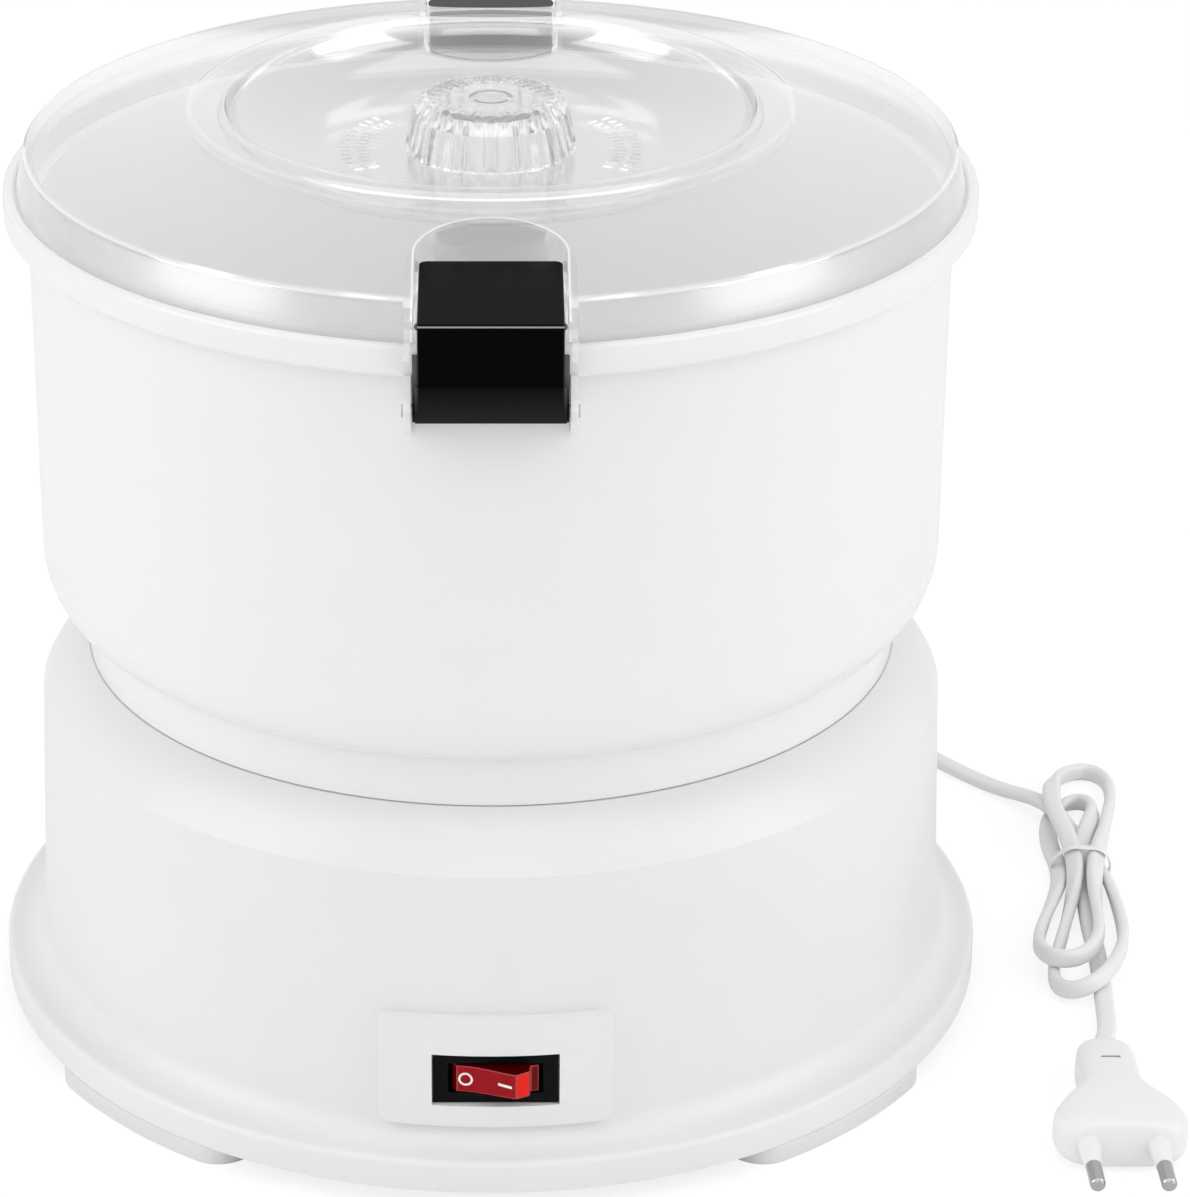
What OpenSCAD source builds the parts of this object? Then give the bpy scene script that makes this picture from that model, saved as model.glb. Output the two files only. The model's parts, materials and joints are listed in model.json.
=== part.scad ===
// Electric potato peeler: a round bowl with a turning abrasive disc on a motor base,
// with a clear lid held by two clips. Origin on the floor, under the bowl's axis.
// +Z is up and the switch faces -Y.

/* [Base] */
// Radius of the flange round the foot of the base
flange_r = 132.4; // [129:0.2:136]
// Thickness of the flange at its edge
flange_h = 8.5; // [7:0.5:11]
// Radius of the base wall just above the flange
base_r = 121.8; // [120:0.2:123]
// Radius of the base wall under its shoulder
shoulder_r = 119.6; // [118:0.2:121]
// Height of the shoulder line above the floor
shoulder_z = 87; // [84:0.5:90]
// Height of the deck that the bowl stands on
deck_z = 100; // [98:0.5:106]
// Wall of the base housing
base_wall = 2.6; // [2:0.2:3.2]
// Height of the rubber feet
foot_h = 5; // [4:0.5:7]
// Radial width of a foot
foot_w = 20; // [16:1:22]
// Angle that a foot spans
foot_span = 21.5; // [18:0.5:30]
// Thickness of the base plate
plate_t = 2.5; // [2:0.25:3.5]

/* [Bowl] */
// Outer radius of the bowl's foot ring
bowl_foot_r = 106.8; // [105:0.2:108]
// Outer radius of the bowl's wall
bowl_r = 118; // [116:0.2:119]
// Height of the bowl from foot to rim
bowl_h = 126.6; // [122:0.2:134]
// Wall of the bowl
bowl_wall = 2.6; // [2:0.2:3]
// Outer radius of the rim
rim_r = 124; // [123.4:0.2:125]
// Height of the rim band
rim_h = 7.6; // [7:0.2:9]
// Height of the tube in the bowl's centre
chimney_h = 30; // [26:1:34]

/* [Disc] */
// Radius of the peeling disc
disc_r = 110.5; // [106:0.5:112]
// Thickness of the peeling disc
disc_t = 3; // [2.5:0.25:4]
// Radius of the three humps on the disc
hump_r = 9; // [7:0.5:11]
// Thickness of the abrasive ring
grit_t = 0.8; // [0.6:0.1:1.2]

/* [Lid] */
// Wall of the clear lid
lid_wall = 2.2; // [1.8:0.1:2.6]
// Height of the lid's edge above the rim
lid_edge_h = 9.2; // [8:0.2:11]
// Height of the lid's crest above the rim
lid_crest_h = 20.9; // [20:0.1:22.5]
// Radius of the lid's crest
crest_r = 72; // [68:0.5:75]
// Radius of the dish floor round the knob
dish_r = 46; // [40:1:50]
// Depth of the dish below the crest
dish_d = 14.5; // [13.6:0.1:15.2]
// Radius of the knob at its foot
knob_r = 21.8; // [19:0.2:24]
// Height of the knob
knob_h = 13.9; // [12:0.1:15]
// Number of flutes round the knob
knob_flutes = 26; // [20:1:30]

/* [Latch] */
// Width of the clip's plate
clip_w = 33.8; // [30:0.2:36]
// Thickness of the clip
clip_t = 2; // [1.8:0.1:2.4]
// Reach of the clip over the lid
clip_reach = 34.2; // [32:0.2:36]
// Diameter of the clip's hinge pin
pin_d = 3; // [2.6:0.1:3.2]
// Thickness of the bowl's hinge ears
ear_t = 1.8; // [1.5:0.1:2.2]

/* [Switch] */
// Width of the switch's face
switch_w = 31.2; // [30:0.2:33]
// Height of the switch's face
switch_h = 13.9; // [13.5:0.1:15]
// Height of the switch above the floor
switch_z = 32.2; // [32:0.2:36]
// Width of the raised pad round the switch
pad_w = 58.5; // [50:0.5:64]
// Angle that the rocker leans at rest
rocker_lean = 14; // [10:0.5:16]

/* [Drive] */
// Radius of the drive spindle
spindle_r = 5; // [4.5:0.1:5.5]
// Module of the motor stage
stage1_mod = 1; // [0.9:0.05:1.05]
// Module of the disc stage
stage2_mod = 1.25; // [1.1:0.05:1.3]
// Radius of the motor's shaft
shaft_r = 3; // [2.5:0.1:3.5]
// Radius of the armature
armature_r = 16.5; // [15:0.5:18]
// Height of the motor's lamination stack
stack_h = 28; // [24:1:30]

/* [Hidden] */
$fn = 96;

// Clearances: between bodies, round a running pin or shaft, and of a loose fit
gap = 0.3;
run = 0.04;
slack = 0.05;
cut = 1;

// Heights of the base
flange_top = foot_h + flange_h;
foot_fillet = base_r < flange_r - 8 ? 7.5 : flange_r - base_r - 2;
edge_round = 1.6;
seat_r = bowl_foot_r + 0.4;
shoulder_bulge = 1.4;

// Heights of the bowl
bowl_z = deck_z + gap;
rim_z = bowl_z + bowl_h;
floor_under = bowl_z + 11;
floor_top = floor_under + bowl_wall;
corner_z = bowl_z + 30;
foot_lift = 2.6;
rim_inner_r = rim_r - 2.8;
ledge_z = rim_z - 5.2;
foot_ring_w = 2.6;
chimney_top = floor_top + chimney_h - 8;

// Heights of the disc and its hub, and the spindle's shoulder under its hexagon
disc_z = floor_top + 6;
disc_top = disc_z + disc_t;
hub_top = chimney_top + 15;
spindle_top = chimney_top + 1;
hex_h = 11;
hex_r = spindle_r - 0.3;
hub_foot_r = 28;

// Drive train: deck boss, gears, plate and motor from the top down
deck_under = deck_z - base_wall;
boss_top = deck_z + 4;
gear2_t = 8;
gear2_z = deck_under - 16.5;
gear1_t = 6.5;
gear1_z = gear2_z - 8.5;
gear_plate_t = 3;
gear_plate_z = gear1_z - 4.5;
pinion_teeth = 12;
idler_teeth = 48;
idler_pinion_teeth = 14;
output_teeth = 56;
idler_dist = stage2_mod * (idler_pinion_teeth + output_teeth) / 2;
motor_dist = stage1_mod * (pinion_teeth + idler_teeth) / 2;
idler_dir = 135;
motor_dir = 240;
idler_at = idler_dist * [cos(idler_dir), sin(idler_dir)];
motor_at = idler_at + motor_dist * [cos(motor_dir), sin(motor_dir)];
idler_pin_r = 3;
bush_r = spindle_r + 3;
post_x = 62;
post_y = 52;
post_at = [[post_x, post_y], [-post_x, post_y], [-post_x, -post_y], [post_x, -post_y]];
post_r = 4.5;
plate_margin = 8;
plate_screw_r = 1.5;

// Motor, hung under the gear plate
stator_r = armature_r + 14.5;
bracket_t = 3.5;
top_bracket_z = gear_plate_z - bracket_t;
stack_top = top_bracket_z - 6;
stack_z = stack_top - stack_h;
winding_h = 3.6;
bottom_bracket_z = stack_z - 14;
fan_z = bottom_bracket_z - 8.5;
fan_hub_h = 5.5;
fan_r = stator_r - 8;
commutator_r = 7;
commutator_z = bottom_bracket_z + bracket_t + gap;
motor_bush_r = shaft_r + 3;
holder_h = 6;

// Lid
lid_r = rim_inner_r - 0.4;
lid_z = ledge_z + gap;
lid_edge_r = lid_r - 2.3;
lid_edge_z = rim_z + lid_edge_h;
crest_z = rim_z + lid_crest_h;
crest_w = 4.6;
crest_drop = 1.8;
dish_z = crest_z - dish_d;
pocket_floor = rim_z + 4.7;
pocket_floor_t = 2;
pocket_w = clip_w + 2;
pocket_wall = 2.2;
barrel_r = pin_d / 2 + 1.2;
bowl_out = max(rim_r, bowl_r + barrel_r + gap);
cheek_end = bowl_out + 2.2;

// Clips: hinge axis and outline, in distance from the bowl's axis and height
hinge_y = bowl_out + 0.6;
hinge_z = rim_z - 14.9;
clip_inner = bowl_out + 0.4;
clip_outer = clip_inner + clip_t;
clip_top = pocket_floor + 0.4 + clip_t;
clip_tip = clip_outer - clip_reach;
clip_rise = 2.7;
clip_side = clip_w / 2 + 1.2;
ear_in = clip_side + gap;
ear_out = ear_in + ear_t;
pocket_end = clip_tip - 8.4;
pocket_round = 14;

// Switch
switch_x = 1.2;
pad_r = base_r + 2.4;
pad_top = switch_z + 17;
pad_low = switch_z - 13.2;
switch_face = base_r + 0.6;
switch_frame_t = 2;
switch_depth = 24;
rocker_w = 22;
rocker_h = switch_h - 6.1;
pivot_y = switch_face - 4.2;
rocker_cave = rocker_w + 1.6;
pivot_r = 1.2;
tab_pitch = 8;
tab_t = 0.8;
block_x = 42;
block_y = base_r - 59.8;
block_w = 24;
block_d = 16;

// Feet and screws under the base
foot_out = flange_r + 0.6;
foot_mid = foot_out - foot_w / 2;
screw_circle = shoulder_r - base_wall - 5.5;
screw_boss_r = 4.5;

// Mains lead: where it leaves the base, and the route that it takes to the plug
relief_z = 30;
relief_len = 28;
cord_d = 3.6;
wire_d = 2.2;
relief_tip = base_r + relief_len;
lead_route = [[0, 149, 30], [1, 158, 28], [6, 167, 20], [16, 174, 10], [30, 176, 3], [48, 174, 1.8],
    [68, 167, 1.8], [88, 155, 1.8], [106, 141, 1.8], [121, 126, 1.8], [134, 111, 1.8],
    [146, 96, 1.8], [154, 88, 2.4], [160, 84, 3]];
tail_route = [[167.6, -24, 2], [166.6, -33, 1.8], [165.4, -41, 1.8], [164, -48, 2.2], [162.6, -54, 3.4],
    [161.2, -60, 5.4], [160.2, -66, 6.7], [160, -71, 6.85]];
hank_h = 12;
waist_x = 160.8;
waist_w = 15;
tie_y = 41;
tie_w = 2.4;
tie_t = 1.1;
plug_x = 160;
plug_face = -113.7;
plug_back = -68.7;
plug_h = 13.7;
plug_mid = plug_h / 2;
plug_w = 34.6;
pin_pitch = 17.8;
pin_len = 18.6;
sleeve_len = 9.4;

// Points along an arc from angle a0 to a1, on a circle or an ellipse
function arc(c, rx, ry, a0, a1, n) =
    [for (i = [0 : n]) let (a = a0 + (a1 - a0) * i / n) [c[0] + rx * cos(a), c[1] + ry * sin(a)]];

// Points from p to q along a shallow bow that stands out by s, without the ends
function bow(p, q, s, n) =
    let (d = q - p, l = norm(d), side = [d[1], -d[0]] / l)
    [for (i = [1 : n - 1]) let (t = i / n) p + t * d + side * s * 4 * t * (1 - t)];

// Outline of a spur gear with straight-flanked teeth, a tooth centred on angle at
function gear_outline(teeth, m, at) =
    let (r = teeth * m / 2, step = 360 / teeth, root = r - 1.2 * m, tip = r + 0.9 * m)
    [for (i = [0 : teeth - 1], k = [[-0.30, 0], [-0.125, 1], [0.125, 1], [0.30, 0]])
        let (a = at + (i + k[0]) * step, q = k[1] == 1 ? tip : root) [q * cos(a), q * sin(a)]];

// Tube swept along a route, with a ring of n corners square to the route at each point
module tube(route, d, n) {
    last = len(route) - 1;
    way = [for (i = [0 : last])
        let (v = route[min(i + 1, last)] - route[max(i - 1, 0)]) v / norm(v)];
    points = [for (i = [0 : last], k = [0 : n - 1])
        let (flat = cross(way[i], [0, 0, 1]), side = norm(flat) > 0.01 ? flat / norm(flat) : [1, 0, 0],
            up = cross(side, way[i]), a = (k + 0.5) * 360 / n)
        route[i] + d / 2 * (side * cos(a) + up * sin(a))];
    sides = [for (i = [0 : last - 1], k = [0 : n - 1])
        [i * n + k, i * n + (k + 1) % n, (i + 1) * n + (k + 1) % n, (i + 1) * n + k]];
    ends = [[for (k = [n - 1 : -1 : 0]) k], [for (k = [0 : n - 1]) last * n + k]];
    polyhedron(points = points, faces = concat(sides, ends), convexity = 6);
}

module ring(r_out, r_in, h) {
    difference() {
        cylinder(r = r_out, h = h);
        translate([0, 0, -cut])
            cylinder(r = r_in, h = h + 2 * cut);
    }
}

// Plate of a given size, centred in x and y, with round corners
module round_plate(w, d, r, h) {
    translate([-w / 2 + r, -d / 2, 0])
        cube([w - 2 * r, d, h]);
    translate([-w / 2, -d / 2 + r, 0])
        cube([w, d - 2 * r, h]);
    for (x = [-1, 1], y = [-1, 1])
        translate([x * (w / 2 - r), y * (d / 2 - r), 0])
            cylinder(r = r, h = h, $fn = 32);
}

// Profile drawn in distance from the axis and height, stood up along x and facing -Y
module side_profile(points, w) {
    translate([-w / 2, 0, 0])
        rotate([90, 0, 90])
            linear_extrude(w)
                polygon([for (p = points) [-p[0], p[1]]]);
}

// ---- Base -------------------------------------------------------------------------

module base_shell() {
    outer = concat(
        [[flange_r, foot_h]],
        arc([flange_r - edge_round, flange_top - edge_round], edge_round, edge_round, 0, 90, 5),
        arc([base_r + foot_fillet, flange_top + foot_fillet], foot_fillet, foot_fillet, 270, 180, 8),
        [[shoulder_r, shoulder_z]],
        bow([shoulder_r, shoulder_z], [seat_r, deck_z], shoulder_bulge, 8),
        [[seat_r, deck_z], [0, deck_z]]);
    inner_fillet = foot_fillet + base_wall;
    inner = concat(
        [[0, deck_under], [seat_r - 1, deck_under]],
        [[shoulder_r - base_wall, shoulder_z - 1.5]],
        arc([base_r + foot_fillet, flange_top + foot_fillet], inner_fillet, inner_fillet, 180, 262, 6),
        [[flange_r - base_wall, flange_top - base_wall], [flange_r - base_wall, foot_h]]);
    rotate_extrude($fn = 180)
        polygon(concat(outer, inner));
}

module switch_pad() {
    intersection() {
        translate([switch_x, 0, (pad_top + pad_low) / 2])
            rotate([90, 0, 0])
                round_plate(pad_w, pad_top - pad_low, 3, pad_r + 2);
        difference() {
            cylinder(r = pad_r, h = deck_z);
            translate([0, 0, -cut])
                cylinder(r = base_r - 1.6, h = deck_z + 2 * cut);
        }
    }
}

module base_housing() {
    color("white")
    difference() {
        union() {
            base_shell();
            switch_pad();
            translate([0, 0, gear2_z + gear2_t + 1.5])
                cylinder(r = bush_r + 4, h = boss_top - gear2_z - gear2_t - 1.5);
            for (p = post_at)
                translate([p[0], p[1], gear_plate_z + gear_plate_t])
                    cylinder(r = post_r, h = deck_under - gear_plate_z - gear_plate_t + cut / 2);
            translate([idler_at[0], idler_at[1], gear2_z + gear2_t + 2])
                cylinder(r = idler_pin_r + 3, h = deck_under - gear2_z - gear2_t - 1.5);
            for (a = [0 : 90 : 270])
                rotate(a + 20)
                    translate([screw_circle, 0, foot_h + plate_t]) {
                        cylinder(r = screw_boss_r, h = 32);
                        translate([0, -1.2, 0])
                            cube([base_r - base_wall / 2 - screw_circle, 2.4, 32]);
                    }
            difference() {
                translate([0, 0, deck_z - cut / 2])
                    ring(bowl_foot_r - foot_ring_w - 0.4, bowl_foot_r - foot_ring_w - 3, 4.5);
                for (a = [90, 210, 330])
                    rotate(a)
                        translate([bowl_foot_r - 12, -4.4, deck_z - cut])
                            cube([12, 8.8, 8]);
            }
        }
        // Bore for the bush and the seal
        translate([0, 0, gear2_z])
            cylinder(r = bush_r, h = deck_z);
        translate([idler_at[0], idler_at[1], gear2_z])
            cylinder(r = idler_pin_r + slack, h = gear2_t + 9);
        for (p = post_at)
            translate([p[0], p[1], gear_plate_z])
                cylinder(r = plate_screw_r + slack, h = 14);
        for (a = [0 : 90 : 270])
            rotate(a + 20)
                translate([screw_circle, 0, 0])
                    cylinder(r = plate_screw_r + slack, h = foot_h + plate_t + 14);
        // Recess and opening for the switch
        translate([switch_x - switch_w / 2 - gap, -pad_r - 5, switch_z - switch_h / 2 - gap])
            cube([switch_w + 2 * gap, pad_r + 5 - switch_face + switch_frame_t, switch_h + 2 * gap]);
        translate([switch_x - switch_w / 2 + 1.8, -pad_r - 5, switch_z - switch_h / 2 + 0.7])
            cube([switch_w - 3.6, 16, switch_h - 1.4]);
        // Hole for the cord's grommet
        translate([0, base_r - 12, relief_z])
            rotate([-90, 0, 0])
                cylinder(r = 5 + slack, h = 24);
    }
}

module base_plate() {
    color("gainsboro")
    difference() {
        translate([0, 0, foot_h])
            cylinder(r = flange_r - base_wall - gap, h = plate_t, $fn = 180);
        for (a = [45 : 90 : 315])
            rotate(a)
                translate([foot_mid, 0, 0])
                    cylinder(r = 3 + slack, h = foot_h + plate_t + cut);
        for (a = [0 : 90 : 270])
            rotate(a + 20)
                translate([screw_circle, 0, 0])
                    cylinder(r = plate_screw_r + 0.2, h = foot_h + plate_t + cut);
        // Air slots under the motor's fan
        for (i = [-3 : 3])
            translate([motor_at[0] + i * 7 - 1.5, motor_at[1] - 18, foot_h - cut])
                cube([3, 36, plate_t + 2 * cut]);
    }
}

module foot(a) {
    color("gainsboro")
    rotate(a) {
        rotate(-foot_span / 2)
            rotate_extrude(angle = foot_span, $fn = 180)
                translate([foot_out - foot_w, 0])
                    square([foot_w, foot_h]);
        for (side = [-1, 1])
            rotate(side * foot_span / 2)
                translate([foot_mid, 0, 0])
                    cylinder(r = foot_w / 2, h = foot_h);
        translate([foot_mid, 0, foot_h])
            cylinder(r = 3, h = plate_t + 2);
    }
}

module base_screws() {
    color("silver")
    for (a = [0 : 90 : 270])
        rotate(a + 20)
            translate([screw_circle, 0, foot_h - 2.2]) {
                difference() {
                    cylinder(r = 3.2, h = 2.2);
                    translate([0, 0, -cut])
                        for (t = [0, 90])
                            rotate(t)
                                translate([-2, -0.4, 0])
                                    cube([4, 0.8, 1 + cut]);
                }
                cylinder(r = plate_screw_r, h = 2.2 + plate_t + 12);
            }
}

// ---- Gear plate and drive train ----------------------------------------------------

module gear_plate() {
    color("silver")
    difference() {
        translate([0, 0, gear_plate_z])
            round_plate(2 * (post_x + plate_margin), 2 * (post_y + plate_margin), plate_margin, gear_plate_t);
        translate([0, 0, gear_plate_z - cut])
            cylinder(r = bush_r, h = gear_plate_t + 2 * cut);
        translate([idler_at[0], idler_at[1], gear_plate_z - cut])
            cylinder(r = idler_pin_r, h = gear_plate_t + 2 * cut);
        translate([motor_at[0], motor_at[1], gear_plate_z - cut])
            cylinder(r = motor_bush_r + 1, h = gear_plate_t + 2 * cut);
        for (p = post_at)
            translate([p[0], p[1], gear_plate_z - cut])
                cylinder(r = plate_screw_r + 0.2, h = gear_plate_t + 2 * cut);
        translate([45, 0, gear_plate_z - cut])
            cylinder(r = 18, h = gear_plate_t + 2 * cut);
    }
}

module gear_plate_screws() {
    color("silver")
    for (p = post_at)
        translate([p[0], p[1], gear_plate_z - 2.4]) {
            cylinder(r = 3.2, h = 2.4);
            cylinder(r = plate_screw_r, h = 2.4 + gear_plate_t + 9);
        }
}

module idler_axle() {
    color("silver")
    translate([idler_at[0], idler_at[1], gear_plate_z])
        cylinder(r = idler_pin_r, h = gear2_z + gear2_t + 8 - gear_plate_z);
}

module spindle_lower_bush() {
    color("peru")
    translate([0, 0, gear_plate_z - 1]) {
        ring(bush_r, spindle_r + run, gear_plate_t + 4);
        translate([0, 0, gear_plate_t + 1])
            ring(bush_r + 2, spindle_r + run, 1.5);
    }
}

module spindle_upper_bush() {
    color("peru")
    translate([0, 0, gear2_z + gear2_t + 1.5])
        ring(bush_r, spindle_r + run, boss_top - 3 - gear2_z - gear2_t - 1.5);
}

module spindle_seal() {
    color("dimgray")
    translate([0, 0, boss_top - 3])
        ring(bush_r, spindle_r + run, 3);
}

module drive_spindle() {
    color("silver")
    difference() {
        union() {
            translate([0, 0, gear_plate_z - 5])
                cylinder(r = spindle_r, h = spindle_top - gear_plate_z + 5);
            translate([0, 0, spindle_top - cut])
                cylinder(r = hex_r, h = hex_h + cut, $fn = 6);
        }
        translate([0, 0, gear_plate_z - 3])
            ring(spindle_r + cut, spindle_r - 1, 1.2);
    }
}

module spindle_clip() {
    color("gray")
    translate([0, 0, gear_plate_z - 2.95])
        difference() {
            ring(spindle_r + 2.6, spindle_r - 0.95, 1.1);
            translate([0, -1.8, -cut])
                cube([spindle_r + 4, 3.6, 1.1 + 2 * cut]);
        }
}

module spur_gear(teeth, m, at, bore, h) {
    difference() {
        linear_extrude(h)
            polygon(gear_outline(teeth, m, at));
        translate([0, 0, -cut])
            cylinder(r = bore, h = h + 2 * cut);
    }
}

module output_gear() {
    color("ivory")
    translate([0, 0, gear2_z])
        difference() {
            union() {
                spur_gear(output_teeth, stage2_mod, idler_dir, spindle_r, gear2_t);
                translate([0, 0, -5])
                    ring(spindle_r + 4, spindle_r, 5 + cut);
            }
            for (a = [0 : 60 : 300])
                rotate(a)
                    translate([stage2_mod * output_teeth * 0.29, 0, -cut])
                        cylinder(r = 6, h = gear2_t + 2 * cut);
        }
}

module idler_gear() {
    color("ivory")
    translate([idler_at[0], idler_at[1], 0]) {
        translate([0, 0, gear1_z])
            spur_gear(idler_teeth, stage1_mod, motor_dir, idler_pin_r + run, gear1_t);
        translate([0, 0, gear1_z + gear1_t - cut / 2])
            spur_gear(idler_pinion_teeth, stage2_mod, idler_dir + 180 + 180 / idler_pinion_teeth,
                idler_pin_r + run, gear2_z + gear2_t + 1 - gear1_z - gear1_t + cut / 2);
    }
}

module motor_pinion() {
    color("goldenrod")
    translate([motor_at[0], motor_at[1], gear1_z - 1])
        spur_gear(pinion_teeth, stage1_mod, motor_dir + 180 + 180 / pinion_teeth, shaft_r, gear1_t + 2);
}

// ---- Motor ---------------------------------------------------------------------------

module at_motor(z) {
    translate([motor_at[0], motor_at[1], z])
        children();
}

// Wedge of a cylinder, centred on +X
module sector(r, span, h) {
    intersection() {
        cylinder(r = r, h = h);
        linear_extrude(h)
            polygon([[0, 0], [3 * r * cos(span / 2), 3 * r * sin(span / 2)], [3 * r, 0],
                [3 * r * cos(span / 2), -3 * r * sin(span / 2)]]);
    }
}

module stator_core() {
    color("gray")
    at_motor(stack_z) {
        ring(stator_r, stator_r - 6, stack_h);
        for (a = [0, 180])
            rotate(a)
                difference() {
                    sector(stator_r - 5, 110, stack_h);
                    translate([0, 0, -cut])
                        cylinder(r = armature_r + 0.6, h = stack_h + 2 * cut);
                }
    }
}

module field_coils() {
    color("chocolate")
    for (a = [0, 180])
        at_motor(stack_z - winding_h)
            rotate(a)
                difference() {
                    sector(stator_r - 6.1, 172, stack_h + 2 * winding_h);
                    translate([0, 0, -cut])
                        cylinder(r = armature_r + 1, h = stack_h + 2 * winding_h + 2 * cut);
                    translate([0, 0, winding_h - slack])
                        sector(stator_r, 111, stack_h + 2 * slack);
                }
}

module motor_bracket(z, h) {
    difference() {
        round_plate(2 * stator_r, 18, 4, bracket_t);
        translate([0, 0, -cut])
            cylinder(r = motor_bush_r, h = bracket_t + 2 * cut);
    }
    for (x = [-1, 1])
        translate([x * (stator_r - 3), 0, z])
            cylinder(r = 2.8, h = h);
}

module motor_top_bracket() {
    color("silver")
    at_motor(top_bracket_z)
        motor_bracket(stack_top - top_bracket_z, top_bracket_z - stack_top);
}

module motor_bottom_bracket() {
    color("silver")
    at_motor(bottom_bracket_z)
        motor_bracket(bracket_t, stack_z - bottom_bracket_z - bracket_t);
}

module motor_bushes() {
    color("peru")
    for (z = [top_bracket_z - 1, bottom_bracket_z - 1])
        at_motor(z)
            ring(motor_bush_r, shaft_r + run, bracket_t + 1);
}

module brush_holders() {
    color("goldenrod")
    for (a = [90, 270])
        at_motor(bottom_bracket_z + bracket_t)
            rotate(a)
                difference() {
                    translate([commutator_r + 1.5, -3.5, 0])
                        cube([12, 7, holder_h]);
                    translate([commutator_r, -2.5, 1])
                        cube([14 + cut, 5, holder_h - 2]);
                }
}

module carbon_brushes() {
    color("dimgray")
    for (a = [90, 270])
        at_motor(bottom_bracket_z + bracket_t + 1)
            rotate(a)
                translate([commutator_r + gap, -2.5, 0])
                    cube([9, 5, holder_h - 2]);
}

module motor_shaft() {
    color("silver")
    at_motor(fan_z)
        cylinder(r = shaft_r, h = gear1_z + gear1_t + 1.5 - fan_z);
}

module armature_core() {
    color("gray")
    at_motor(stack_z)
        difference() {
            cylinder(r = armature_r, h = stack_h);
            translate([0, 0, -cut])
                cylinder(r = shaft_r, h = stack_h + 2 * cut);
            for (a = [0 : 30 : 330])
                rotate(a)
                    translate([armature_r - 5, -1, -cut])
                        cube([6, 2, stack_h + 2 * cut]);
        }
}

module armature_windings() {
    color("chocolate")
    for (z = [stack_z - winding_h, stack_top])
        at_motor(z)
            ring(armature_r - 2, shaft_r, winding_h);
}

module commutator() {
    color("peru")
    at_motor(commutator_z)
        ring(commutator_r, shaft_r, stack_z - winding_h - commutator_z);
}

module cooling_fan() {
    color("black")
    at_motor(fan_z) {
        ring(shaft_r + 3, shaft_r, fan_hub_h);
        ring(fan_r, shaft_r + 2, 1.2);
        for (a = [0 : 40 : 320])
            rotate(a)
                translate([shaft_r + 5, -0.6, 1])
                    cube([fan_r - shaft_r - 5.5, 1.2, fan_hub_h - 1]);
    }
}

// ---- Switch and wiring -----------------------------------------------------------------

// Moves to the rocker's hinge, with x to the right and y outward from the base
module at_pivot(turn) {
    translate([switch_x, -pivot_y, switch_z])
        rotate(turn)
            mirror([0, 1, 0])
                children();
}

module switch_body() {
    color("black")
    difference() {
        union() {
            translate([switch_x - switch_w / 2, -switch_face, switch_z - switch_h / 2])
                cube([switch_w, switch_frame_t - slack, switch_h]);
            translate([switch_x - switch_w / 2 + 2.1, -switch_face, switch_z - switch_h / 2 + 1])
                cube([switch_w - 4.2, switch_depth, switch_h - 2]);
        }
        translate([switch_x - rocker_cave / 2, -switch_face - cut, switch_z - rocker_h / 2 - gap])
            cube([rocker_cave, switch_face - pivot_y + 8 + cut, rocker_h + 2 * gap]);
        translate([switch_x, -pivot_y, switch_z - switch_h])
            cylinder(r = pivot_r + run, h = 2 * switch_h);
    }
}

module switch_rocker() {
    half = rocker_w / 2;
    color("red")
    at_pivot(-rocker_lean) {
        translate([0, 0, -rocker_h / 2])
            linear_extrude(rocker_h)
                polygon(concat(
                    [[-half, 2.6], [-half + 2.6, 7.2]],
                    bow([-half + 2.6, 7.2], [half - 2.6, 7.2], 1, 6),
                    [[half - 2.6, 7.2], [half, 2.6], [4.5, 0], [3, -3.5], [-3, -3.5], [-4.5, 0]]));
        cylinder(r = pivot_r, h = switch_h - 2, center = true);
    }
}

module switch_terminals() {
    color("goldenrod")
    for (x = [-tab_pitch, 0, tab_pitch])
        translate([switch_x + x - tab_t / 2, -switch_face + switch_depth, switch_z - 3])
            cube([tab_t, 8, 6]);
}

module terminal_block() {
    color("whitesmoke")
    translate([block_x, block_y, foot_h + plate_t])
        difference() {
            cube([block_w, block_d, 10]);
            for (x = [block_w / 4, block_w * 3 / 4])
                translate([x, block_d / 2, 6])
                    cylinder(r = 2, h = 6);
        }
}

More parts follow.
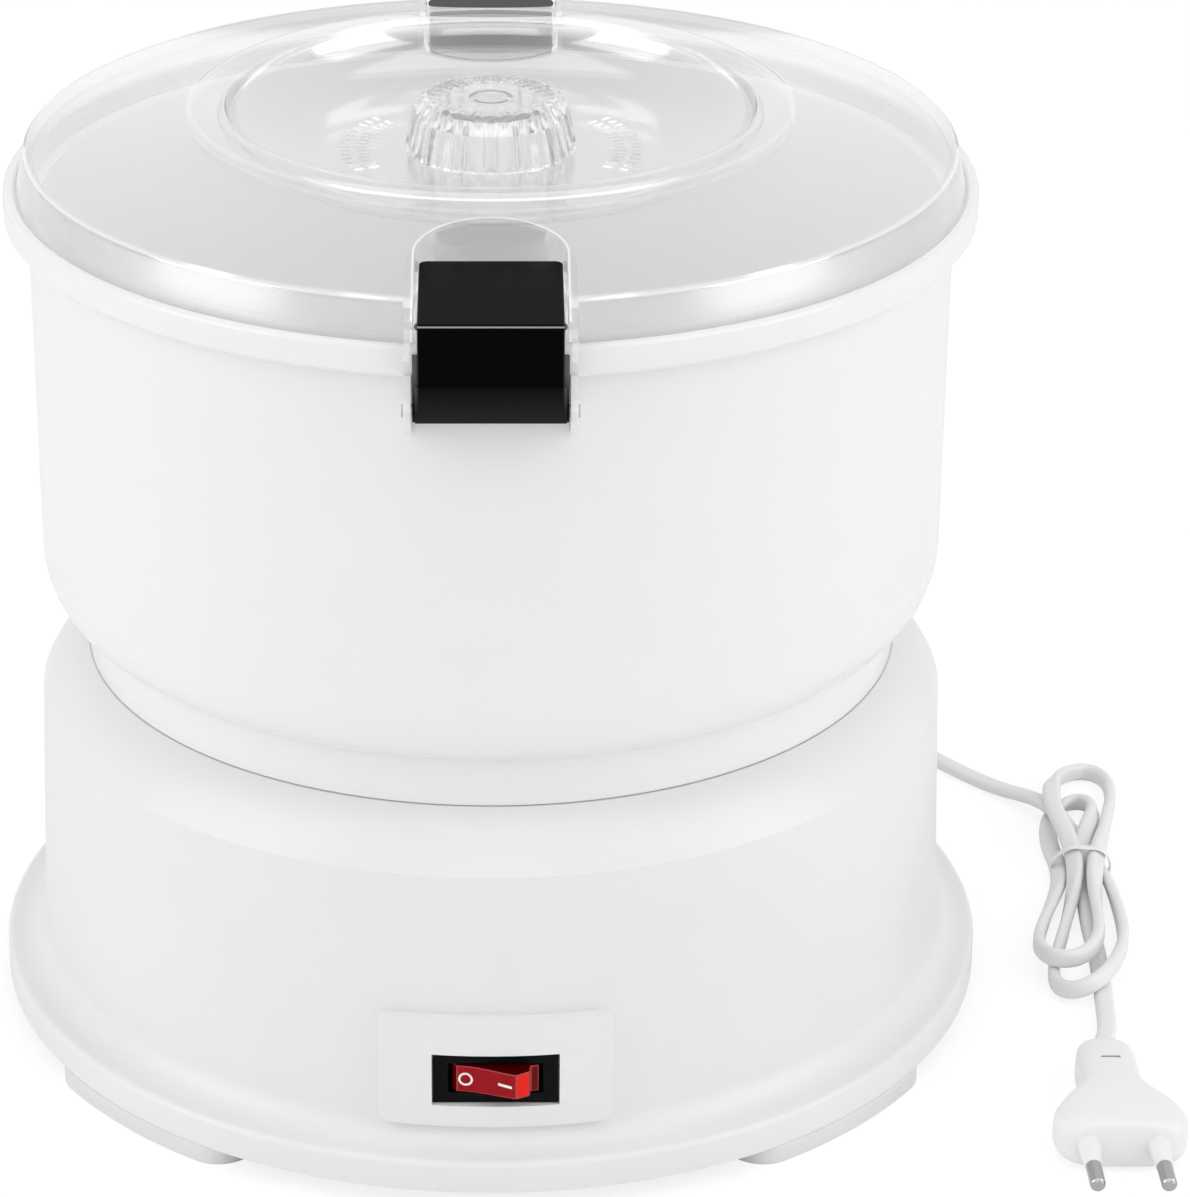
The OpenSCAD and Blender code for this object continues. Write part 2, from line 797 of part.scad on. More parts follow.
module wiring() {
    wire_z = foot_h + plate_t + 6;
    tab_y = -switch_face + switch_depth + 4;
    tab_x = tab_pitch + tab_t / 2 + slack;
    live_x = block_x + block_w * 3 / 4;
    neutral_x = block_x + block_w / 4;
    back_y = block_y + block_d + slack;
    front_y = block_y - slack;
    holder_z = bottom_bracket_z + bracket_t + holder_h / 2;
    holder_end = commutator_r + 13.5 + slack;
    at_motor_x = motor_at[0];
    color("whitesmoke")
        tube([[0, base_r - 9 - slack, relief_z], [0, base_r - 16, relief_z], [4, base_r - 24, relief_z - 6],
            [14, back_y + 14, wire_z + 4], [32, back_y + 12, wire_z], [block_x + 6, back_y + 11, wire_z],
            [block_x + 12, back_y + 7, wire_z], [block_x + 12, back_y, wire_z]], cord_d, 8);
    color("royalblue")
        tube([[neutral_x, front_y, wire_z], [neutral_x, front_y - 6, wire_z], [46, 40, 14], [42, 0, 12],
            [34, -40, 14], [22, tab_y + 24, switch_z - 7], [switch_x + tab_x + 4, tab_y, switch_z],
            [switch_x + tab_x, tab_y, switch_z]], wire_d, 8);
    color("saddlebrown")
        tube([[live_x, front_y, wire_z], [live_x, front_y - 6, wire_z], [60, 40, 14], [56, 0, 12],
            [46, -46, 14], [22, tab_y + 16, switch_z - 9], [9, tab_y + 10, switch_z - 2],
            [switch_x + 3, tab_y, switch_z], [switch_x + tab_t / 2 + slack, tab_y, switch_z]], wire_d, 8);
    color("black")
        tube([[switch_x - tab_x, tab_y, switch_z], [switch_x - tab_x - 4, tab_y, switch_z],
            [-22, tab_y + 20, switch_z - 5], [-38, -44, holder_z],
            [at_motor_x, motor_at[1] - holder_end - 8, holder_z],
            [at_motor_x, motor_at[1] - holder_end, holder_z]], wire_d, 8);
    color("royalblue")
        tube([[block_x - slack, block_y + 8, wire_z], [block_x - 6, block_y + 8, wire_z], [16, block_y + 4, 14],
            [-14, 58, 20], [-40, 46, holder_z], [at_motor_x, motor_at[1] + holder_end + 8, holder_z],
            [at_motor_x, motor_at[1] + holder_end, holder_z]], wire_d, 8);
}

// ---- Bowl ------------------------------------------------------------------------------

module bowl_shell() {
    inner_r = bowl_r - bowl_wall;
    outer = concat(
        [[bowl_foot_r - foot_ring_w, bowl_z], [bowl_foot_r, bowl_z]],
        arc([bowl_foot_r, corner_z], bowl_r - bowl_foot_r, corner_z - floor_under - foot_lift, -90, 0, 10),
        [[bowl_r, rim_z - rim_h - 0.8], [rim_r - 0.8, rim_z - rim_h], [rim_r, rim_z - rim_h + 0.8]],
        arc([rim_r - 1.2, rim_z - 1.2], 1.2, 1.2, 0, 90, 4),
        [[rim_inner_r + 0.5, rim_z], [rim_inner_r, rim_z - 0.5], [rim_inner_r, ledge_z]],
        [[inner_r, ledge_z]]);
    inner = concat(
        arc([bowl_foot_r, corner_z], inner_r - bowl_foot_r, corner_z - floor_top - foot_lift, 0, -90, 10),
        [[bowl_foot_r - 4, floor_top]],
        [[spindle_r + 7, floor_top], [spindle_r + 7, chimney_top], [spindle_r + 3, chimney_top]],
        [[spindle_r + 3, bowl_z + 6], [spindle_r + 7, bowl_z + 6], [spindle_r + 7, floor_under]],
        [[bowl_foot_r - foot_ring_w, floor_under]]);
    rotate_extrude($fn = 180)
        polygon(concat(outer, inner));
}

module hinge_ears() {
    for (side = [-1, 1])
        translate([side * (ear_in + ear_t / 2), 0, 0])
            difference() {
                side_profile(concat(
                    [[bowl_r - 3.4, rim_z - rim_h - 1], [bowl_r - 3.4, hinge_z - 10]],
                    arc([hinge_y, hinge_z], barrel_r + 1.2, barrel_r + 1.2, -60, 70, 8),
                    [[hinge_y - 1, rim_z - rim_h + 1]]), ear_t);
                translate([-ear_t, -hinge_y, hinge_z])
                    rotate([0, 90, 0])
                        cylinder(r = pin_d / 2 + 0.01, h = 2 * ear_t);
            }
}

module bowl() {
    color("white") {
        bowl_shell();
        for (a = [0, 180])
            rotate(a)
                difference() {
                    hinge_ears();
                    cylinder(r = bowl_r - 1, h = rim_z + cut);
                }
        for (a = [90, 210, 330])
            rotate(a)
                translate([bowl_foot_r - foot_ring_w - 4, -4, bowl_z])
                    cube([5, 8, 11.5]);
    }
}

module bowl_bush() {
    color("ivory")
    translate([0, 0, bowl_z + 6])
        ring(spindle_r + 3 - slack, spindle_r + 0.25, chimney_top - bowl_z - 6);
}

// ---- Peeling disc ------------------------------------------------------------------------

module hump(r) {
    translate([0, 0, disc_top - 3]) {
        translate([42, 0, 0])
            sphere(r = r, $fn = 48);
        translate([42, 0, 0])
            rotate([0, 90, 0])
                cylinder(r = r, h = 48, $fn = 48);
        translate([90, 0, 0])
            sphere(r = r, $fn = 48);
    }
}

module peeling_disc() {
    color("whitesmoke")
    difference() {
        union() {
            translate([0, 0, disc_z])
                cylinder(r = disc_r, h = disc_t, $fn = 180);
            difference() {
                for (a = [90 : 120 : 330])
                    rotate(a)
                        hump(hump_r);
                translate([-disc_r, -disc_r, disc_z - 2 * hump_r])
                    cube([2 * disc_r, 2 * disc_r, 2 * hump_r]);
            }
            rotate_extrude()
                polygon(concat([[0, disc_z], [hub_foot_r, disc_z], [hub_foot_r, disc_top]],
                    bow([hub_foot_r, disc_top], [spindle_r + 9.6, hub_top - 4], -2, 6),
                    [[spindle_r + 9.6, hub_top - 4], [spindle_r + 5, hub_top], [0, hub_top]]));
        }
        // Space for the bowl's tube, and the socket on the spindle's hexagon
        translate([0, 0, disc_z - cut])
            cylinder(r = spindle_r + 7.6, h = spindle_top + gap - disc_z + cut);
        translate([0, 0, disc_z])
            cylinder(r = hex_r + 0.25, h = spindle_top + hex_h + gap - disc_z, $fn = 6);
    }
}

module disc_abrasive() {
    color("silver")
    difference() {
        translate([0, 0, disc_top])
            ring(disc_r - 2, 30, grit_t);
        for (a = [90 : 120 : 330])
            rotate(a)
                hump(hump_r + 0.2);
    }
}

// ---- Lid -----------------------------------------------------------------------------------

// Height of the lid's slope at a distance from the axis
function slope_z(r) =
    let (r1 = lid_edge_r - 0.8, z1 = lid_edge_z + 0.8, r2 = crest_r + crest_w, z2 = crest_z - crest_drop)
    z1 + (z2 - z1) * (r1 - r) / (r1 - r2);

module lid_shell() {
    out_r = crest_r + crest_w;
    in_r = crest_r - crest_w;
    edge_z = crest_z - crest_drop;
    top = concat(
        [[lid_r, lid_z], [lid_r - 0.4, rim_z], [lid_edge_r, lid_edge_z]],
        [[lid_edge_r - 0.8, lid_edge_z + 0.8], [out_r, edge_z]],
        bow([out_r, edge_z], [in_r, edge_z - 0.2], 1.8, 6),
        arc([dish_r, edge_z - 0.2], in_r - dish_r, edge_z - 0.2 - dish_z, 0, -90, 10),
        [[0, dish_z]]);
    under = concat(
        [[0, dish_z - lid_wall]],
        arc([dish_r, edge_z - 0.2], in_r - dish_r + lid_wall, edge_z - 0.2 - dish_z + lid_wall, -90, -8, 10),
        [[out_r - 1, edge_z - lid_wall], [lid_edge_r - lid_wall - 0.4, lid_edge_z - lid_wall + 0.8]],
        [[lid_edge_r - lid_wall, lid_edge_z - lid_wall], [lid_r - lid_wall, lid_z]]);
    rotate_extrude($fn = 180)
        polygon(concat(top, under));
}

// Plan of a pocket: round at its inner end and open outward, grown by g
module pocket_plan(g, out) {
    half = pocket_w / 2 + g;
    polygon(concat([[-half, -out], [half, -out]],
        arc([0, -pocket_end - pocket_round], half, pocket_round + g, 0, 180, 20)));
}

module pocket_block() {
    intersection() {
        translate([0, 0, pocket_floor - pocket_floor_t])
            linear_extrude(40)
                pocket_plan(pocket_wall, cheek_end);
        rotate_extrude($fn = 180)
            polygon([[0, rim_z], [cheek_end + 2, rim_z], [cheek_end + 2, slope_z(cheek_end + 2)],
                [crest_r + crest_w, slope_z(crest_r + crest_w)], [0, slope_z(crest_r + crest_w)]]);
    }
    // Cheeks that come down over the rim beside the clip
    for (side = [-1, 1])
        translate([side * (pocket_w / 2 + pocket_wall - 0.8), -cheek_end + 1.4, rim_z - 2.2])
            translate([-0.8, -1.4, 0])
                cube([1.6, 3, pocket_floor - rim_z + 2.4]);
}

module lid() {
    color([0.9, 0.92, 0.93, 0.4])
    difference() {
        union() {
            lid_shell();
            for (a = [0, 180])
                rotate(a)
                    pocket_block();
        }
        for (a = [0, 180])
            rotate(a) {
                translate([0, 0, pocket_floor])
                    linear_extrude(40)
                        pocket_plan(0, cheek_end + 10);
                translate([-pocket_w / 2, -cheek_end - 10, rim_z - 4])
                    cube([pocket_w, cheek_end + 10 - lid_r - 0.6, 40]);
            }
    }
}

module lid_knob() {
    top_r = knob_r * 0.76;
    z = dish_z;
    color([0.9, 0.92, 0.93, 0.5])
    difference() {
        rotate_extrude()
            polygon(concat(
                [[knob_r - 2.4, z], [knob_r, z], [knob_r - 1.6, z + knob_h * 0.68]],
                bow([knob_r - 1.6, z + knob_h * 0.68], [top_r, z + knob_h], 1.1, 5),
                [[top_r, z + knob_h], [top_r - 1, z + knob_h - 0.5], [5, z + knob_h - 0.5]],
                [[5, z + knob_h - 0.1], [0, z + knob_h - 0.1], [0, z + knob_h - 2.8]],
                [[top_r - 2, z + knob_h - 2.8], [knob_r - 4, z + knob_h * 0.6]]));
        for (i = [0 : knob_flutes - 1])
            rotate((i + 0.5) * 360 / knob_flutes)
                translate([knob_r + 0.6, 0, z - cut])
                    rotate([0, -6.5, 0])
                        cylinder(r = PI * knob_r / knob_flutes * 0.62, h = knob_h + 3, $fn = 24);
    }
}

// ---- Latches -----------------------------------------------------------------------------

module clip() {
    lip_z = rim_z - 8.3;
    difference() {
        union() {
            intersection() {
                side_profile([[clip_tip, clip_top + clip_rise], [clip_outer, clip_top],
                    [clip_outer + 0.5, lip_z], [clip_inner - 0.6, lip_z], [clip_inner, lip_z + 1],
                    [clip_inner, clip_top - clip_t], [clip_tip, clip_top + clip_rise - clip_t]], clip_w);
                translate([0, -clip_outer + clip_reach / 2 - 10, hinge_z])
                    round_plate(clip_w, clip_reach + 20, 2, 60);
            }
            side_profile(concat(
                [[clip_outer + 0.5, lip_z], [clip_outer + 3.9, hinge_z + 0.3], [clip_outer + 3.2, hinge_z - 1.1]],
                arc([hinge_y, hinge_z], barrel_r, barrel_r, -80, -200, 8),
                [[clip_inner - 0.6, lip_z]]), clip_w + 1);
            for (side = [-1, 1])
                translate([side * (clip_side - 0.9), 0, 0])
                    side_profile(concat(
                        [[clip_inner, rim_z - 1], [clip_inner + 1.4, rim_z - 1], [clip_inner + 1.4, lip_z]],
                        arc([hinge_y, hinge_z], barrel_r, barrel_r, 40, -180, 12),
                        [[clip_inner, lip_z + 1]]), 1.8);
            for (side = [-1, 1])
                translate([side * (clip_w / 2 - 0.2), -clip_outer + 1.2, clip_top - 1])
                    sphere(r = 0.9, $fn = 24);
        }
        translate([-clip_w, -hinge_y, hinge_z])
            rotate([0, 90, 0])
                cylinder(r = pin_d / 2 + 0.08, h = 2 * clip_w);
    }
}

module front_latch() {
    color("black")
        clip();
}

module rear_latch() {
    color("black")
        rotate(180)
            clip();
}

module latch_pin() {
    translate([-ear_out - 0.4, -hinge_y, hinge_z])
        rotate([0, 90, 0])
            cylinder(r = pin_d / 2, h = 2 * ear_out + 0.8);
}

module front_latch_pin() {
    color("dimgray")
        latch_pin();
}

module rear_latch_pin() {
    color("dimgray")
        rotate(180)
            latch_pin();
}

// ---- Mains lead ------------------------------------------------------------------------------

module strain_relief() {
    color("white")
    translate([0, 0, relief_z])
        rotate([-90, 0, 0])
            rotate_extrude($fn = 48)
                polygon([[cord_d / 2, base_r - 9], [5, base_r - 9], [5, base_r + gap], [6.6, base_r + gap],
                    [6.6, base_r + 3], [4.6, base_r + 4.5], [2.9, relief_tip], [cord_d / 2, relief_tip]]);
}

module cord_lead() {
    color("white")
        tube(concat([[0, base_r - 9, relief_z], [0, relief_tip - 8, relief_z]], lead_route), cord_d, 8);
}

module cord_tail() {
    color("white")
        tube(tail_route, cord_d, 8);
}

// Outline of the folded lead: a wide loop at each end of a waist
module hank_plan() {
    translate([172, 92])
        circle(r = 15);
    translate([163.5, -18])
        circle(r = 15.5);
    waist_end = waist_x + waist_w;
    polygon([[157.5, 89], [waist_x, tie_y + 3], [waist_x, tie_y - 3], [148.2, -16], [178.8, -16],
        [waist_end, tie_y - 3], [waist_end, tie_y + 3], [187, 91]]);
}

module tie_ring() {
    translate([waist_x, tie_y - tie_w / 2, 0])
        difference() {
            translate([-tie_t, 0, 0])
                cube([waist_w + 2 * tie_t, tie_w, hank_h]);
            translate([0, -cut, tie_t])
                cube([waist_w, tie_w + 2 * cut, hank_h - 2 * tie_t]);
        }
}

module cord_hank() {
    color("white")
    difference() {
        linear_extrude(hank_h)
            hank_plan();
        translate([150, tie_y - tie_w / 2, -cut])
            cube([40, tie_w, tie_t + cut]);
        translate([150, tie_y - tie_w / 2, hank_h - tie_t])
            cube([40, tie_w, tie_t + cut]);
    }
}

module cord_tie() {
    color("white")
        tie_ring();
}

module plug_body() {
    half = plug_w / 2;
    color("white")
    translate([plug_x, 0, 0])
        difference() {
            intersection() {
                linear_extrude(plug_h)
                    polygon([[-12.5, plug_face], [12.5, plug_face], [half, plug_face + 5], [half, plug_face + 8],
                        [8, plug_face + 23], [7, plug_back - 3], [5, plug_back], [-5, plug_back],
                        [-7, plug_back - 3], [-8, plug_face + 23], [-half, plug_face + 8],
                        [-half, plug_face + 5]]);
                rotate([90, 0, 90])
                    linear_extrude(plug_w + 2, center = true)
                        polygon([[plug_face, 2], [plug_face + 4, 0], [plug_back, 0.6], [plug_back, plug_h - 0.6],
                            [plug_face + 22, plug_h], [plug_face, plug_h - 2]]);
            }
            for (side = [-1, 1])
                translate([side * pin_pitch / 2, plug_face - cut, plug_mid])
                    rotate([-90, 0, 0])
                        cylinder(r = 2, h = 8 + cut);
        }
}

module plug_sleeves() {
    color("white")
    for (side = [-1, 1])
        translate([plug_x + side * pin_pitch / 2, plug_face - sleeve_len, plug_mid])
            rotate([-90, 0, 0])
                ring(1.9, 1.4, sleeve_len + 4);
}

module plug_pins() {
    color("silver")
    for (side = [-1, 1])
        translate([plug_x + side * pin_pitch / 2, plug_face - pin_len, plug_mid])
            rotate([-90, 0, 0])
                rotate_extrude($fn = 32)
                    polygon(concat([[0, 0]], arc([0.8, 1.2], 1.2, 1.2, -90, 0, 4),
                        [[2, pin_len - sleeve_len], [1.4, pin_len - sleeve_len], [1.4, pin_len + 6], [0, pin_len + 6]]));
}

base_housing();
base_plate();
foot(-135);  // foot_front_left
foot(-45);  // foot_front_right
foot(135);  // foot_rear_left
foot(45);  // foot_rear_right
base_screws();
gear_plate();
gear_plate_screws();
idler_axle();
spindle_lower_bush();
spindle_upper_bush();
spindle_seal();
stator_core();
field_coils();
motor_top_bracket();
motor_bottom_bracket();
motor_bushes();
brush_holders();
carbon_brushes();
switch_body();
switch_terminals();
terminal_block();
wiring();
motor_shaft();
armature_core();
armature_windings();
commutator();
cooling_fan();
motor_pinion();
idler_gear();
drive_spindle();
output_gear();
spindle_clip();
switch_rocker();
bowl();
bowl_bush();
front_latch_pin();
rear_latch_pin();
front_latch();
rear_latch();
peeling_disc();
disc_abrasive();
lid();
lid_knob();
strain_relief();
cord_lead();
cord_hank();
cord_tie();
cord_tail();
plug_body();
plug_sleeves();
plug_pins();
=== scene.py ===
import json
import math

import bmesh
import bpy
import numpy as np
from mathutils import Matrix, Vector


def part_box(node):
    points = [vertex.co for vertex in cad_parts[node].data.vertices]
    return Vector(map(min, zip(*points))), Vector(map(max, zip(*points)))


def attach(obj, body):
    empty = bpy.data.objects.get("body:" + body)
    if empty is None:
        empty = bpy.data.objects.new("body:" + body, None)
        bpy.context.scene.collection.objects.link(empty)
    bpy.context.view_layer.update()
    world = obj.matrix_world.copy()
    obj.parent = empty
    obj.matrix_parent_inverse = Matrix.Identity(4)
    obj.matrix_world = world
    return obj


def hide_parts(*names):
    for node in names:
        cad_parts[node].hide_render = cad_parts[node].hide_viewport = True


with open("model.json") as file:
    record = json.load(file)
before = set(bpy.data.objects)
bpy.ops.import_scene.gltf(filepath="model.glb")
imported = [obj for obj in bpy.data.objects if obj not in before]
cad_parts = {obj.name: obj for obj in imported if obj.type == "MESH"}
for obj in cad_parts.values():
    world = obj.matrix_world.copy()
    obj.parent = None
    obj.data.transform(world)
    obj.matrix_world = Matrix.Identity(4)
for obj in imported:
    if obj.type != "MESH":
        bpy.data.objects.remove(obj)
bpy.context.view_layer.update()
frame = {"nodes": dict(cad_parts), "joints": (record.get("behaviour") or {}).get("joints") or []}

scene = bpy.context.scene
nodes = frame["nodes"]
mm = 0.001

# ---- Camera ------------------------------------------------------------------------------
# A long lens from in front and a little above, aimed so that the peeler stands left of the
# middle and leaves room for its lead on the right.

camera_data = bpy.data.cameras.new("camera")
camera_data.lens = 130.05
camera_data.sensor_width = 36
camera_data.shift_x = 0.087
camera_data.clip_end = 30
camera = bpy.data.objects.new("camera", camera_data)
camera.location = (0, -1.047, 0.591)
camera.rotation_euler = (math.radians(65.18), 0, 0)
scene.collection.objects.link(camera)
scene.camera = camera
scene.view_settings.view_transform = "Standard"

# ---- Mains lead --------------------------------------------------------------------------
# A flat two-core lead in soft white PVC, 5.2 mm wide and 3.2 mm thick. It leaves the back
# of the base, runs round it on the table, and is folded into a hank before the plug.


class Shade:
    """A value in a material's nodes, which takes part in sums as a number does."""

    def __init__(self, finish, socket):
        self.finish, self.socket = finish, socket

    def sum(self, operation, *values):
        return self.finish.node("ShaderNodeMath", {"operation": operation},
            dict(enumerate(values)))

    def __add__(self, other):
        return self.sum("ADD", self, other)

    def __radd__(self, other):
        return self.sum("ADD", other, self)

    def __sub__(self, other):
        return self.sum("SUBTRACT", self, other)

    def __rsub__(self, other):
        return self.sum("SUBTRACT", other, self)

    def __mul__(self, other):
        return self.sum("MULTIPLY", self, other)

    def __rmul__(self, other):
        return self.sum("MULTIPLY", other, self)

    def __truediv__(self, other):
        return self.sum("DIVIDE", self, other)

    def __rtruediv__(self, other):
        return self.sum("DIVIDE", other, self)

    def __pow__(self, other):
        return self.sum("POWER", self, other)

    def __rpow__(self, other):
        return self.sum("POWER", other, self)

    def __abs__(self):
        return self.sum("ABSOLUTE", self)

    def at_least(self, other):
        return self.sum("MAXIMUM", self, other)

    def rise(self, low, high):
        """0 where the value is under low and 1 where it is over high, sloping between."""
        return self.finish.node("ShaderNodeMapRange", None, {0: self, 1: low, 2: high})

    def fall(self, low, high):
        """1 where the value is under low and 0 where it is over high, sloping between."""
        return self.finish.node("ShaderNodeMapRange", None,
            {0: self, 1: low, 2: high, 3: 1, 4: 0})

    def ramp(self, *stops):
        """Follows stops of (value, result), each from 0 to 1."""
        return self.finish.node("ShaderNodeValToRGB", {"stops": stops}, {0: self})


class Finish:
    """A material or the world, and the nodes that vary it over a surface."""

    def __init__(self, owner, settings=None):
        self.owner = owner
        owner.use_nodes = True
        self.tree = owner.node_tree
        self.surface = self.tree.nodes.get("Principled BSDF")
        for name, value in (settings or {}).items():
            self.feed(self.surface.inputs[name], value)

    def feed(self, socket, value):
        if isinstance(value, Shade):
            self.tree.links.new(value.socket, socket)
        elif socket.type == "RGBA" and len(value) == 3:
            socket.default_value = (*value, 1)
        else:
            socket.default_value = value

    def node(self, kind, settings=None, sockets=None, output=0):
        """Adds a node with its settings first, then the values or links of its sockets."""
        new = self.tree.nodes.new(kind)
        for name, value in (settings or {}).items():
            if name == "stops":
                for _ in value[2:]:
                    new.color_ramp.elements.new(0.5)
                for stop, (place, shade) in zip(new.color_ramp.elements, value):
                    stop.position, stop.color = place, (shade, shade, shade, 1)
            else:
                setattr(new, name, value)
        for name, value in (sockets or {}).items():
            self.feed(new.inputs[name], value)
        return Shade(self, new.outputs[output])

    def at(self):
        """The place on a piece, in metres."""
        return self.node("ShaderNodeTexCoord", output="Object")

    def noise(self, size, detail, stretch=(1, 1, 1)):
        """Soft noise from 0 to 1 whose spots are about size metres across."""
        at = self.node("ShaderNodeMapping", None, {"Vector": self.at(), "Scale": stretch})
        return self.node("ShaderNodeTexNoise", None,
            {"Vector": at, "Scale": 1 / size, "Detail": detail})

    def mix(self, share, a, b):
        """The colour a where share is 0, and b where it is 1."""
        return self.node("ShaderNodeMix", {"data_type": "RGBA"}, {0: share, 6: a, 7: b}, 2)

    def set(self, **values):
        """Feeds sockets of the surface: base_color is its Base Color."""
        for name, value in values.items():
            self.feed(self.surface.inputs[name.replace("_", " ").title()], value)

    def bump(self, height, depth):
        """Raises the surface by height times depth metres."""
        self.feed(self.surface.inputs["Normal"], self.node("ShaderNodeBump", None,
            {"Strength": 1, "Distance": depth, "Height": height}))


def grained(name, rough, spread=0.05, grain=0.0006, depth=0.000012, ior=1.5):
    """Moulded plastic that has no colour yet: the mould's fine grain, and gloss that
    changes faintly from place to place."""
    finish = Finish(bpy.data.materials.new(name), {"IOR": ior})
    finish.set(roughness=rough - spread / 2 + spread * finish.noise(0.012, 4))
    finish.bump(finish.noise(grain, 2), depth)
    return finish


def plastic(name, colour, rough, *grain_sizes, tint=0.985, **more_sizes):
    """Moulded plastic of one colour, faintly clouded with a darker one."""
    finish = grained(name, rough, *grain_sizes, **more_sizes)
    cloud = finish.noise(0.035, 3).rise(0.35, 0.65)
    finish.set(base_color=finish.mix(cloud, [c * tint for c in colour], colour))
    return finish


def add_piece(name, points, faces, finish, smooth=40):
    """A new object from points in metres, smooth where faces meet at under smooth degrees."""
    mesh = bpy.data.meshes.new(name)
    mesh.from_pydata([tuple(p) for p in points], [], faces)
    outward = bmesh.new()
    outward.from_mesh(mesh)
    bmesh.ops.recalc_face_normals(outward, faces=outward.faces)
    outward.to_mesh(mesh)
    outward.free()
    mesh.shade_smooth()
    mesh.set_sharp_from_angle(angle=math.radians(smooth))
    mesh.materials.append(finish.owner)
    new = bpy.data.objects.new(name, mesh)
    scene.collection.objects.link(new)
    return new


def skin(rings, closed=False):
    """Points and faces that join rings one after another. The two ends are covered, unless
    the last ring is joined to the first."""
    n = len(rings[0])
    last = len(rings) - 1
    pairs = [(i, (i + 1) % len(rings)) for i in range(len(rings) if closed else last)]
    faces = [(a * n + j, a * n + (j + 1) % n, b * n + (j + 1) % n, b * n + j)
        for a, b in pairs for j in range(n)]
    if not closed:
        faces += [tuple(range(n))[::-1], tuple(last * n + j for j in range(n))]
    return [p for ring in rings for p in ring], faces


def smooth_line(stops, step, even=4.5, closed=False):
    """A line through the stops in steps of about step, eased over even steps so that its
    bends are round. A stop's numbers after the third are eased with it."""
    p = np.array(stops, float)
    if closed:
        p = np.vstack([p[-3:], p, p[:4]])
    line = []
    for i in range(len(p) - 1):
        a, b = p[i], p[i + 1]
        d = np.linalg.norm(b[:3] - a[:3])
        before, after = p[max(i - 1, 0)], p[min(i + 2, len(p) - 1)]
        d0 = np.linalg.norm(a[:3] - before[:3]) or d
        d2 = np.linalg.norm(after[:3] - b[:3]) or d
        m1 = m2 = b - a
        if i > 0:
            m1 = ((a - before) / d0 * d + (b - a) / d * d0) / (d0 + d) * d
        if i < len(p) - 2:
            m2 = ((b - a) / d * d2 + (after - b) / d2 * d) / (d + d2) * d
        for t in np.linspace(0, 1, max(2, round(d / step)), endpoint=False):
            line.append((2 * t**3 - 3 * t**2 + 1) * a + (t**3 - 2 * t**2 + t) * m1
                + (3 * t**2 - 2 * t**3) * b + (t**3 - t**2) * m2)
    line.append(p[-1])
    line = np.array(line)

    # A bell-shaped average over the neighbours, which fades out at the two ends
    reach, fade = 18, 10
    k = np.arange(-reach, reach + 1)
    weight = np.exp(-0.5 * (k / even) ** 2)
    weight /= weight.sum()
    padded = np.vstack([np.repeat(line[:1], reach, 0), line, np.repeat(line[-1:], reach, 0)])
    eased = np.array([np.convolve(row, weight, "valid") for row in padded.T]).T
    place = np.minimum(np.arange(len(line)), np.arange(len(line))[::-1])
    share = np.clip(place / fade, 0, 1)[:, None]
    line = line * (1 - share) + eased * share
    if closed:
        gap = np.linalg.norm(line[:, :3] - p[3, :3], axis=1)
        half = len(line) // 2
        line = line[gap[:half].argmin():half + gap[half:].argmin()]
    return line


# Each stop is a place in millimetres, and the lean of the flat side in degrees
lead_run = [(0, 147, 30, 0), (0.4, 152, 29.6, 0), (2, 159.5, 26.5, 0), (7, 167, 18.5, 0),
    (16, 172.6, 9, 0), (30, 174.6, 3.2, 0), (48, 172.6, 1.8, 0), (68, 165.6, 1.8, 0),
    (88, 154.2, 1.8, 0), (106, 140.6, 1.8, 0), (121, 126, 1.8, 0), (134, 111.5, 1.8, 0),
    (142.5, 101, 1.8, 0), (150.5, 92.5, 2, 0), (157, 85, 3.6, 0), (161.5, 77.5, 5.3, 0),
    (165.2, 70, 5.5, 0), (168.2, 63, 3.2, 0), (170.4, 56, 1.8, 0)]
outer_bend = [(172.9, 48, 2.2, 40), (174.7, 38.5, 2.7, 60), (175.7, 27, 2.8, 75),
    (176, 17, 2.8, 90), (175.8, 7, 2.9, 90), (174.6, -3, 3.8, 90), (171.8, -13.5, 5.2, 90),
    (168, -23, 6.3, 85), (163.4, -29.6, 6, 85), (157.8, -31.4, 4.2, 90), (154, -27.4, 3, 90),
    (153.6, -18, 2.8, 90), (156.2, -7, 2.8, 90), (159, 4, 2.8, 85), (161.6, 14, 3, 75),
    (164.2, 24.5, 4.4, 55), (165.9, 35, 5.8, 35)]
upper_loop = [(166.2, 44.5, 7.2, 20), (165, 54, 8.7, 8), (163.6, 64, 8.9, 5),
    (163.4, 72, 9, 5), (164.2, 80, 8.8, 8), (166, 88, 6.6, 50), (169, 95.6, 4.2, 85),
    (173.4, 101.4, 3, 90), (178.8, 102.4, 2.8, 90), (182.4, 97, 2.8, 90),
    (182.8, 87, 2.8, 90), (181, 77, 3, 88), (178.6, 67, 4.4, 88), (176.6, 57, 5.8, 80),
    (174.2, 47.5, 7, 50), (171.9, 37.4, 6.8, 30)]
lower_bend = [(170.2, 26, 5.9, 50), (169.2, 15, 6.1, 75), (168.6, 4, 6.5, 80),
    (167.2, -6, 7.1, 85), (163.8, -15, 7.9, 85), (158.4, -21, 8.3, 85),
    (153.2, -20.4, 8.2, 85), (150.8, -13, 6.8, 85), (151.2, -3, 4.2, 90),
    (153.6, 7.5, 2.9, 85), (156.8, 18, 2.7, 70), (160, 28.5, 2.4, 50), (162, 37.5, 2.2, 30)]
